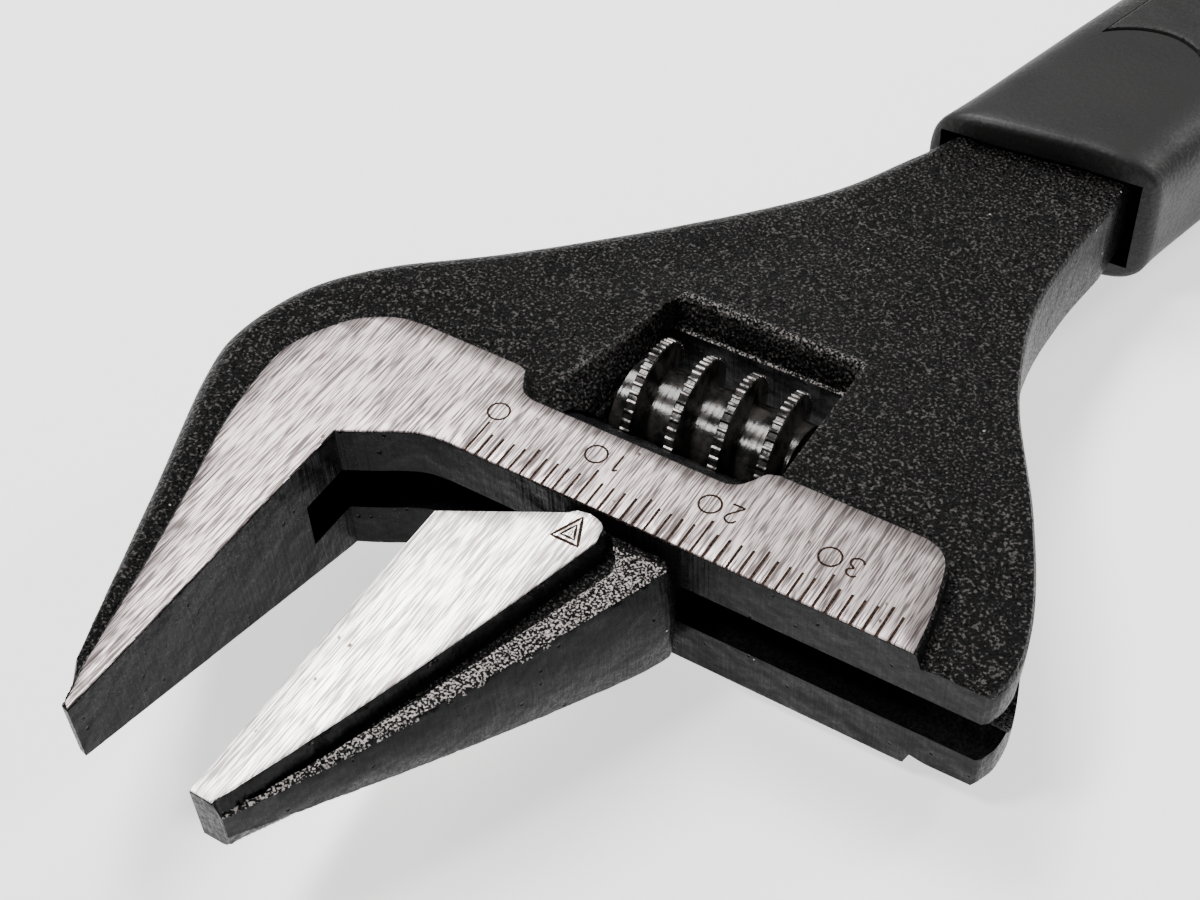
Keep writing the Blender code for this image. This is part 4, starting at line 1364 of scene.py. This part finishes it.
@dataclass
class WormSet:
    """The worm on its pin, with the spring that keeps it from rattling."""

    bench: Bench
    thread: Thread
    start: float = 15.2
    stop: float = 30.7
    crest_half: float = 0.44
    ridges_per_turn: int = 50
    ridge_radius: float = 0.23
    hole: float = 2.3
    pocket_radius: float = 3.45
    pocket_depth: float = 3.9
    pin_radius: float = 2.0
    pin_ends: tuple[float, float] = (-6.4, 34.5)
    wire: float = 0.7
    coil: float = 2.725
    turns: float = 3.0

    def build_worm(self) -> Object:
        """Make the threaded worm with its bore and its spring pocket."""
        y = self.bench.WORM_FROM_EDGE
        under_ridges = self.thread.radius - 0.14
        lower = Thread(self.bench, radius=under_ridges, crest_half=self.crest_half, base_half=0.8)
        worm = lower.solid("worm_thread", self.start, self.stop, 0)
        combine(worm, self.bench.rod("blank", 7.3, self.start, self.stop, y, 96), Join.COMMON)
        combine(worm, self.bench.rod("bore", self.hole, self.start - 5, self.stop + 5, y, 48), Join.CUT)
        deep = self.start + self.pocket_depth
        combine(worm, self.bench.rod("pocket", self.pocket_radius, self.start - 5, deep, y, 64), Join.CUT)
        shade(worm, 32)
        return worm

    def build_knurl(self) -> Object:
        """Make the ridges across the crest, one bar repeated along the helix."""
        tree = Repeater("worm_knurl", WormCrest())
        per_turn = tree.input("Ridges per turn", float(self.ridges_per_turn))
        pitch = tree.input("Pitch", self.thread.pitch * MM)
        radius = tree.input("Radius", (self.thread.radius - self.ridge_radius) * MM)
        first = self.start + self.crest_half + 0.1
        length = self.stop - self.crest_half - 0.1 - first
        count = tree.input("Ridges", int(length / self.thread.pitch * self.ridges_per_turn))
        from_top = tree.input("Turns from the top", (first - self.thread.crest_at_top) / self.thread.pitch)
        top = tree.input("Crest at the top", self.thread.crest_at_top * MM + float(self.bench.origin[0]))
        index = tree.node("GeometryNodeInputIndex").outputs[0]
        turn = tree.math("ADD", from_top, tree.math("DIVIDE", index, per_turn))
        angle = tree.math("ADD", tree.math("MULTIPLY", turn, 2 * math.pi), math.pi / 2)
        axis = self.bench.place([0, self.bench.WORM_FROM_EDGE, 0])
        across = [tree.math("ADD", tree.math("MULTIPLY", tree.math(wave, angle), radius), float(middle))
                  for wave, middle in (("COSINE", axis[1]), ("SINE", axis[2]))]
        place = tree.vector(tree.math("ADD", top, tree.math("MULTIPLY", turn, pitch)), *across)
        line = tree.node("GeometryNodeMeshLine", None, Count=count)
        moved = tree.node("GeometryNodeSetPosition", None, Geometry=line.outputs[0], Position=place)
        bar = tree.node("GeometryNodeMeshCylinder", None, Vertices=8, Radius=self.ridge_radius * MM,
                        Depth=(2 * self.crest_half - 0.1) * MM)
        lying = tree.node("GeometryNodeTransform", None, Geometry=bar.outputs[0],
                          Rotation=(0, math.pi / 2, 0))
        placed = tree.node("GeometryNodeInstanceOnPoints", None, Points=moved.outputs[0],
                           Instance=lying.outputs[0], Rotation=tree.vector(angle, 0.0, 0.0))
        return tree.piece(placed.outputs[0], 50)

    def build_spring(self) -> Object:
        """Make the spring as a coil of round wire."""
        tree = Repeater("worm_coil", TurnedSteel("spring_wire", 0.3))
        turns = tree.input("Turns", self.turns)
        radius = tree.input("Coil radius", self.coil * MM)
        wire = tree.input("Wire radius", self.wire / 2 * MM)
        start = self.start - 0.1 + self.wire / 2
        stop = self.start + self.pocket_depth - 0.3 - self.wire / 2
        length = tree.input("Length", (stop - start) * MM)
        spiral = tree.node("GeometryNodeCurveSpiral", None, Resolution=48, Rotations=turns,
                           Start_Radius=radius, End_Radius=radius, Height=length)
        circle = tree.node("GeometryNodeCurvePrimitiveCircle", None, Resolution=14, Radius=wire)
        tube = tree.node("GeometryNodeCurveToMesh", None, Curve=spiral.outputs[0],
                         Profile_Curve=circle.outputs[0])
        tube.inputs["Fill Caps"].default_value = True
        place = tuple(self.bench.place([start, self.bench.WORM_FROM_EDGE, 0]))
        turned = tree.node("GeometryNodeTransform", None, Geometry=tube.outputs[0],
                           Rotation=(0, math.pi / 2, 0), Translation=place)
        return tree.piece(turned.outputs[0], 50)

    def build_pin(self) -> Object:
        """Make the screw pin with a chamfer at each end and a driver slot."""
        start, stop = self.pin_ends
        y, radius, sides = self.bench.WORM_FROM_EDGE, self.pin_radius, 64
        profile = [(start, radius - 0.3), (start + 0.3, radius), (stop - 0.3, radius), (stop, radius - 0.3)]
        turn = np.arange(sides) * 2 * math.pi / sides
        rings = [np.c_[np.full(sides, x), y + r * np.cos(turn), r * np.sin(turn)] for x, r in profile]
        pin = self.bench.loft("worm_screw_pin", rings)
        slot = pairs((start - 1, y - 5), (start + 1, y - 5), (start + 1, y + 5), (start - 1, y + 5))
        combine(pin, self.bench.prism("driver_slot", slot, -0.4, 0.4), Join.CUT)
        shade(pin)
        return pin

    def build(self) -> None:
        """Make and dress the worm, its ridges, pin and spring."""
        worm = self.build_worm()
        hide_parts("worm")
        dress(worm, "worm", WormBlack())
        dress(self.build_knurl(), "worm", WormCrest())
        spring = self.build_spring()
        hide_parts("worm_spring")
        dress(spring, "frame", TurnedSteel("spring_wire", 0.3))
        pin = self.build_pin()
        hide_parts("worm_pin")
        dress(pin, "frame", TurnedSteel("pin_steel_turned", 0.45))


# ---------------------------------------------------------------- handle


@dataclass
class Grip:
    """The moulded sleeve on the tang, with a soft inlay in each face."""

    bench: Bench
    head: Head
    length: float = 118.0
    stations: tuple[tuple[float, float], ...] = (
        (0, 10.4), (6, 10.1), (22, 10.2), (50, 10.6), (82, 11.4), (102, 11.5), (112, 9.4), (116.4, 6.2),
        (118, 2.2))
    front_half: float = 7.15
    full_half: float = 7.8
    sides: int = 112
    inlay: tuple[float, float] = (18.6, 86.0)
    inlay_half: float = 6.0
    inlay_hollow: float = 3.4
    hole_at: float = 103.0
    hole_length: float = 14.0
    hole_width: float = 8.5

    def half_width(self, along: Array) -> Array:
        """Return the sleeve's half width at places along the handle."""
        curve = smooth_curve(np.array(self.stations, float), 8)
        return np.interp(along, curve[:, 0], curve[:, 1])

    def half_height(self, along: Array) -> Array:
        """Return the sleeve's half thickness at places along the handle."""
        rise = (self.full_half - self.front_half) * smoothstep((along - 18) / 30)
        inward = np.clip((along - self.length + 12) / 12, 0, 1)
        return (self.front_half + rise) * np.sqrt(1 - 0.86 * inward**3)

    def surface(self, along: Array, across: Array) -> Array:
        """Return the height of the sleeve's top over the middle plane."""
        share = np.clip(np.abs(across) / self.half_width(along), 0, 1)
        return self.half_height(along) * (1 - share**self.squareness(along)) ** (1 / self.squareness(along))

    def squareness(self, along: Array) -> Array:
        """Return the section's superellipse power: boxy in front, rounder behind."""
        return 4.2 - 1.5 * smoothstep((along - 4) / 40)

    def front_edge(self, along: Array, across: Array) -> Array:
        """Return how far the front rings lean to follow the mouth's waved edge."""
        wave = -0.4 - 1.1 * (1 - smoothstep((across + 6.5) / 12))
        lean = (wave + across * math.sin(self.head.lean)) / math.cos(self.head.lean)
        return lean * np.clip(1 - along / 14, 0, 1) ** 1.5

    def hole_distance(self, along: Array, across: Array) -> Array:
        """Return the distance to the hanging hole's edge."""
        reach = (self.hole_length - self.hole_width) / 2
        beyond = np.maximum(np.abs(along - self.hole_at) - reach, 0)
        return np.hypot(beyond, across) - self.hole_width / 2

    def build_sleeve(self) -> Object:
        """Loft the sleeve, then cut the tang's pocket, the inlay seats and the hanging hole."""
        lip = [(0.0, 0.7), (0.06, 0.45), (0.2, 0.24), (0.42, 0.08), (0.75, 0.0)]
        cap = 14
        closing = self.length - cap * (1 - np.linspace(0, 1, 26)[:-1]**0.7)
        body = [*np.arange(1.5, self.length - cap, 1.1), *closing, self.length - 0.25]
        along = np.array([s for s, _ in lip] + body)
        inset = np.array([i for _, i in lip] + [0.0] * len(body))
        turn = (np.arange(self.sides) + 0.5) * 2 * math.pi / self.sides
        rings = []
        for s, shrink in zip(along, inset):
            power = 2 / self.squareness(np.array([s]))
            width = self.half_width(np.array([s])) - shrink
            height = self.half_height(np.array([s])) - shrink
            across = width * np.sign(np.cos(turn)) * np.abs(np.cos(turn)) ** power
            up = height * np.sign(np.sin(turn)) * np.abs(np.sin(turn)) ** power
            near = np.clip(1 - self.hole_distance(np.full(self.sides, s), across) / 1.6, 0, 1)
            up -= np.sign(up) * 1.3 * (1 - np.sqrt(1 - near**2 * 0.98))
            place = s + self.front_edge(np.full(self.sides, s), across)
            x, y = self.head.handle(place, across)
            rings.append(np.c_[x, y, up])
        points = np.vstack([*rings, rings[0].mean(axis=0)])
        count, centre = self.sides, len(points) - 1
        ends = [[(i + 1) % count, i, centre] for i in range(count)] + [list(range(centre - count, centre))]
        sleeve = self.bench.mesh("grip_sleeve_moulding", points, ends + bands(count, len(rings)))
        outward(sleeve)
        self.cut(sleeve)
        return sleeve

    def tang_pocket(self) -> Array:
        """Return the pocket's outline: a wide mouth for the neck, then the tang's own shape."""
        neck = pairs((42.4, 45), (42.55, 57), (41.9, 60.5))
        right = [self.head.handle(8, 7.2), self.head.handle(69, 5.8), self.head.handle(72.3, 3.2)]
        left = [self.head.handle(72.3, -3.2), self.head.handle(69, -5.8), self.head.handle(8, -7.2)]
        return np.vstack([neck, right, left, pairs((26.4, 60.5), (24.4, 57), (19.6, 45))])

    def inlay_loop(self, grow: float) -> Array:
        """Return an inlay's outline: hollow where it meets the tongue, round at its back."""
        start, stop = self.inlay
        half = self.inlay_half + grow
        t = np.linspace(-half, half, 25)
        front = np.c_[start - self.inlay_hollow * (t / self.inlay_half) ** 2 - grow * 0.8, t]
        turn = np.linspace(0, math.pi, 25)
        back = np.c_[stop - self.inlay_half + half * np.sin(turn), half * np.cos(turn)]
        return np.array([self.head.handle(s, t) for s, t in np.vstack([front, back])])

    def cut(self, sleeve: Object) -> None:
        """Cut the pocket, the seats and the hole."""
        combine(sleeve, self.bench.prism("pocket", self.tang_pocket(), -4.75, 4.75), Join.CUT)
        floor = self.front_half - 1.4
        for low, high in ((floor, 20), (-20, -floor)):
            combine(sleeve, self.bench.prism("seat", self.inlay_loop(0.12), low, high), Join.CUT)
        turn = (np.arange(64) + 0.5) * math.pi / 32
        reach, round_end = (self.hole_length - self.hole_width) / 2, self.hole_width / 2
        loop = [self.head.handle(self.hole_at + reach * np.sign(math.sin(a)) + round_end * math.sin(a),
                                 round_end * math.cos(a)) for a in turn]
        combine(sleeve, self.bench.prism("hang_hole", np.array(loop), -12, 12), Join.CUT)

    def build_inlay(self, name: str, side: int) -> Object:
        """Make one inlay, a little proud of the sleeve, with a soft edge."""
        loop = self.inlay_loop(0)
        floor = self.front_half - 1.1

        def crown(flat: Array) -> Array:
            """Return the inlay's outer surface."""
            proud = self.surface(*self.head.on_handle(flat)) + 0.3
            return proud - rounded(edge_distance(flat, loop)[0], 0.45)

        def underside(flat: Array) -> Array:
            """Return the inlay's inner surface."""
            return np.full(len(flat), floor)

        rows = [beside(loop, [0.06, 0.15, 0.3, 0.46, 0.8], 0.7)]
        pad = Slab(loop, *facing(side, crown, underside), rows=rows, grid=1.0, edge_step=0.7)
        return pad.build(self.bench, name)

    def coarse(self, centres: Array, normals: Array) -> Array:
        """Say which faces of the sleeve have the coarse grain: its sides and all behind the tongue."""
        drawn = self.bench.drawn(centres)
        along, across = self.head.on_handle(drawn)
        seam = self.inlay[0] - self.inlay_hollow * (across / self.inlay_half) ** 2
        tongue = (along < seam) & (np.abs(normals[:, 2]) > 0.8)
        return ~tongue

    def build(self) -> None:
        """Make and dress the sleeve and the inlays."""
        sleeve = self.build_sleeve()
        shade(sleeve, 35)
        mark_faces(sleeve, "ground", self.coarse)
        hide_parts("grip_sleeve")
        dress(sleeve, "frame", MouldedGrip())
        for name, node, side in (("grip_inlay_top_soft", "grip_inlay_top", 1),
                                 ("grip_inlay_bottom_soft", "grip_inlay_bottom", -1)):
            inlay = self.build_inlay(name, side)
            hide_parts(node)
            dress(inlay, "frame", MouldedGrip("grip_rubber_soft", 0.62, 0.00012, 0.012, 0.6))


# ---------------------------------------------------------------- studio


@dataclass
class Studio:
    """The pale floor, the soft lights and the camera."""

    floor_z: float
    eye: tuple[float, float, float] = (0.07591, -0.05871, 0.11654)
    right: tuple[float, float, float] = (0.84594, 0.53164, -0.04184)
    up: tuple[float, float, float] = (-0.37025, 0.64198, 0.67140)
    lens: float = 58.24

    def camera(self) -> None:
        """Place the camera."""
        right, up = Vector(self.right).normalized(), Vector(self.up).normalized()
        back = right.cross(up).normalized()
        data = bpy.data.cameras.new("camera")
        data.lens, data.sensor_width = self.lens, 36
        data.clip_start, data.clip_end = 0.005, 20
        camera = placed_object("camera", data)
        for column, axis in enumerate((right, up, back)):
            for row in range(3):
                camera.matrix_world[row][column] = axis[row]
        camera.matrix_world.translation = self.eye
        bpy.context.scene.camera = camera

    def floor(self) -> None:
        """Lay the floor."""
        half = 12.0
        data = bpy.data.meshes.new("floor")
        corners = [(-half, -half), (half, -half), (half, half), (-half, half)]
        data.from_pydata([(x, y, self.floor_z) for x, y in corners], [], [(0, 1, 2, 3)])
        floor = placed_object("floor", data)
        g = Graph("floor_white")
        g.fix(metallic=0.0, emission_color=(1.0, 1.0, 1.0, 1.0), emission_strength=1.2)
        speck = g.noise(g.scaled(40))
        data.materials.append(g.wire(g.blend(speck, (0.93, 0.93, 0.93), (0.96, 0.96, 0.96)),
                                     g.span(speck, 0, 1, 0.8, 0.9), g.bump(speck, 0.00001)))
        floor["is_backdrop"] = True

    def lamp(self, name: str, place: Sequence[float], aim: Sequence[float], size: float,
             watts: float) -> None:
        """Hang a square soft light."""
        data = bpy.data.lights.new(name, "AREA")
        data.size, data.energy = size, watts
        lamp = placed_object(name, data)
        lamp.location = place
        lamp.rotation_euler = (Vector(place) - Vector(aim)).to_track_quat("Z", "Y").to_euler()

    def build(self) -> None:
        """Build the studio."""
        self.camera()
        self.floor()
        world = bpy.data.worlds.new("studio")
        world.use_nodes = True
        world.node_tree.nodes["Background"].inputs["Color"].default_value = (1, 1, 1, 1)
        world.node_tree.nodes["Background"].inputs["Strength"].default_value = 0.16
        bpy.context.scene.world = world
        middle = (0.02, 0.03, 0.0)
        self.lamp("key", (-0.41, 0.37, 0.84), middle, 0.36, 11)
        self.lamp("behind", (0.42, 0.80, 0.45), middle, 0.25, 5)
        self.lamp("front", (-0.33, -0.25, 0.80), middle, 0.18, 5)


def main() -> None:
    """Build the wrench's looks round its frame."""
    logging.basicConfig(level=logging.INFO, format="%(message)s")
    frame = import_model()
    cad_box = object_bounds()
    Studio(floor_z=cad_box[0][2] - 0.0002).build()
    bench = Bench(frame)
    head, thread = Head(bench), Thread(bench)
    head.build()
    MovableJaw(bench, head, thread).build()
    WormSet(bench, thread).build()
    Grip(bench, head).build()


if __name__ == "__main__":
    main()
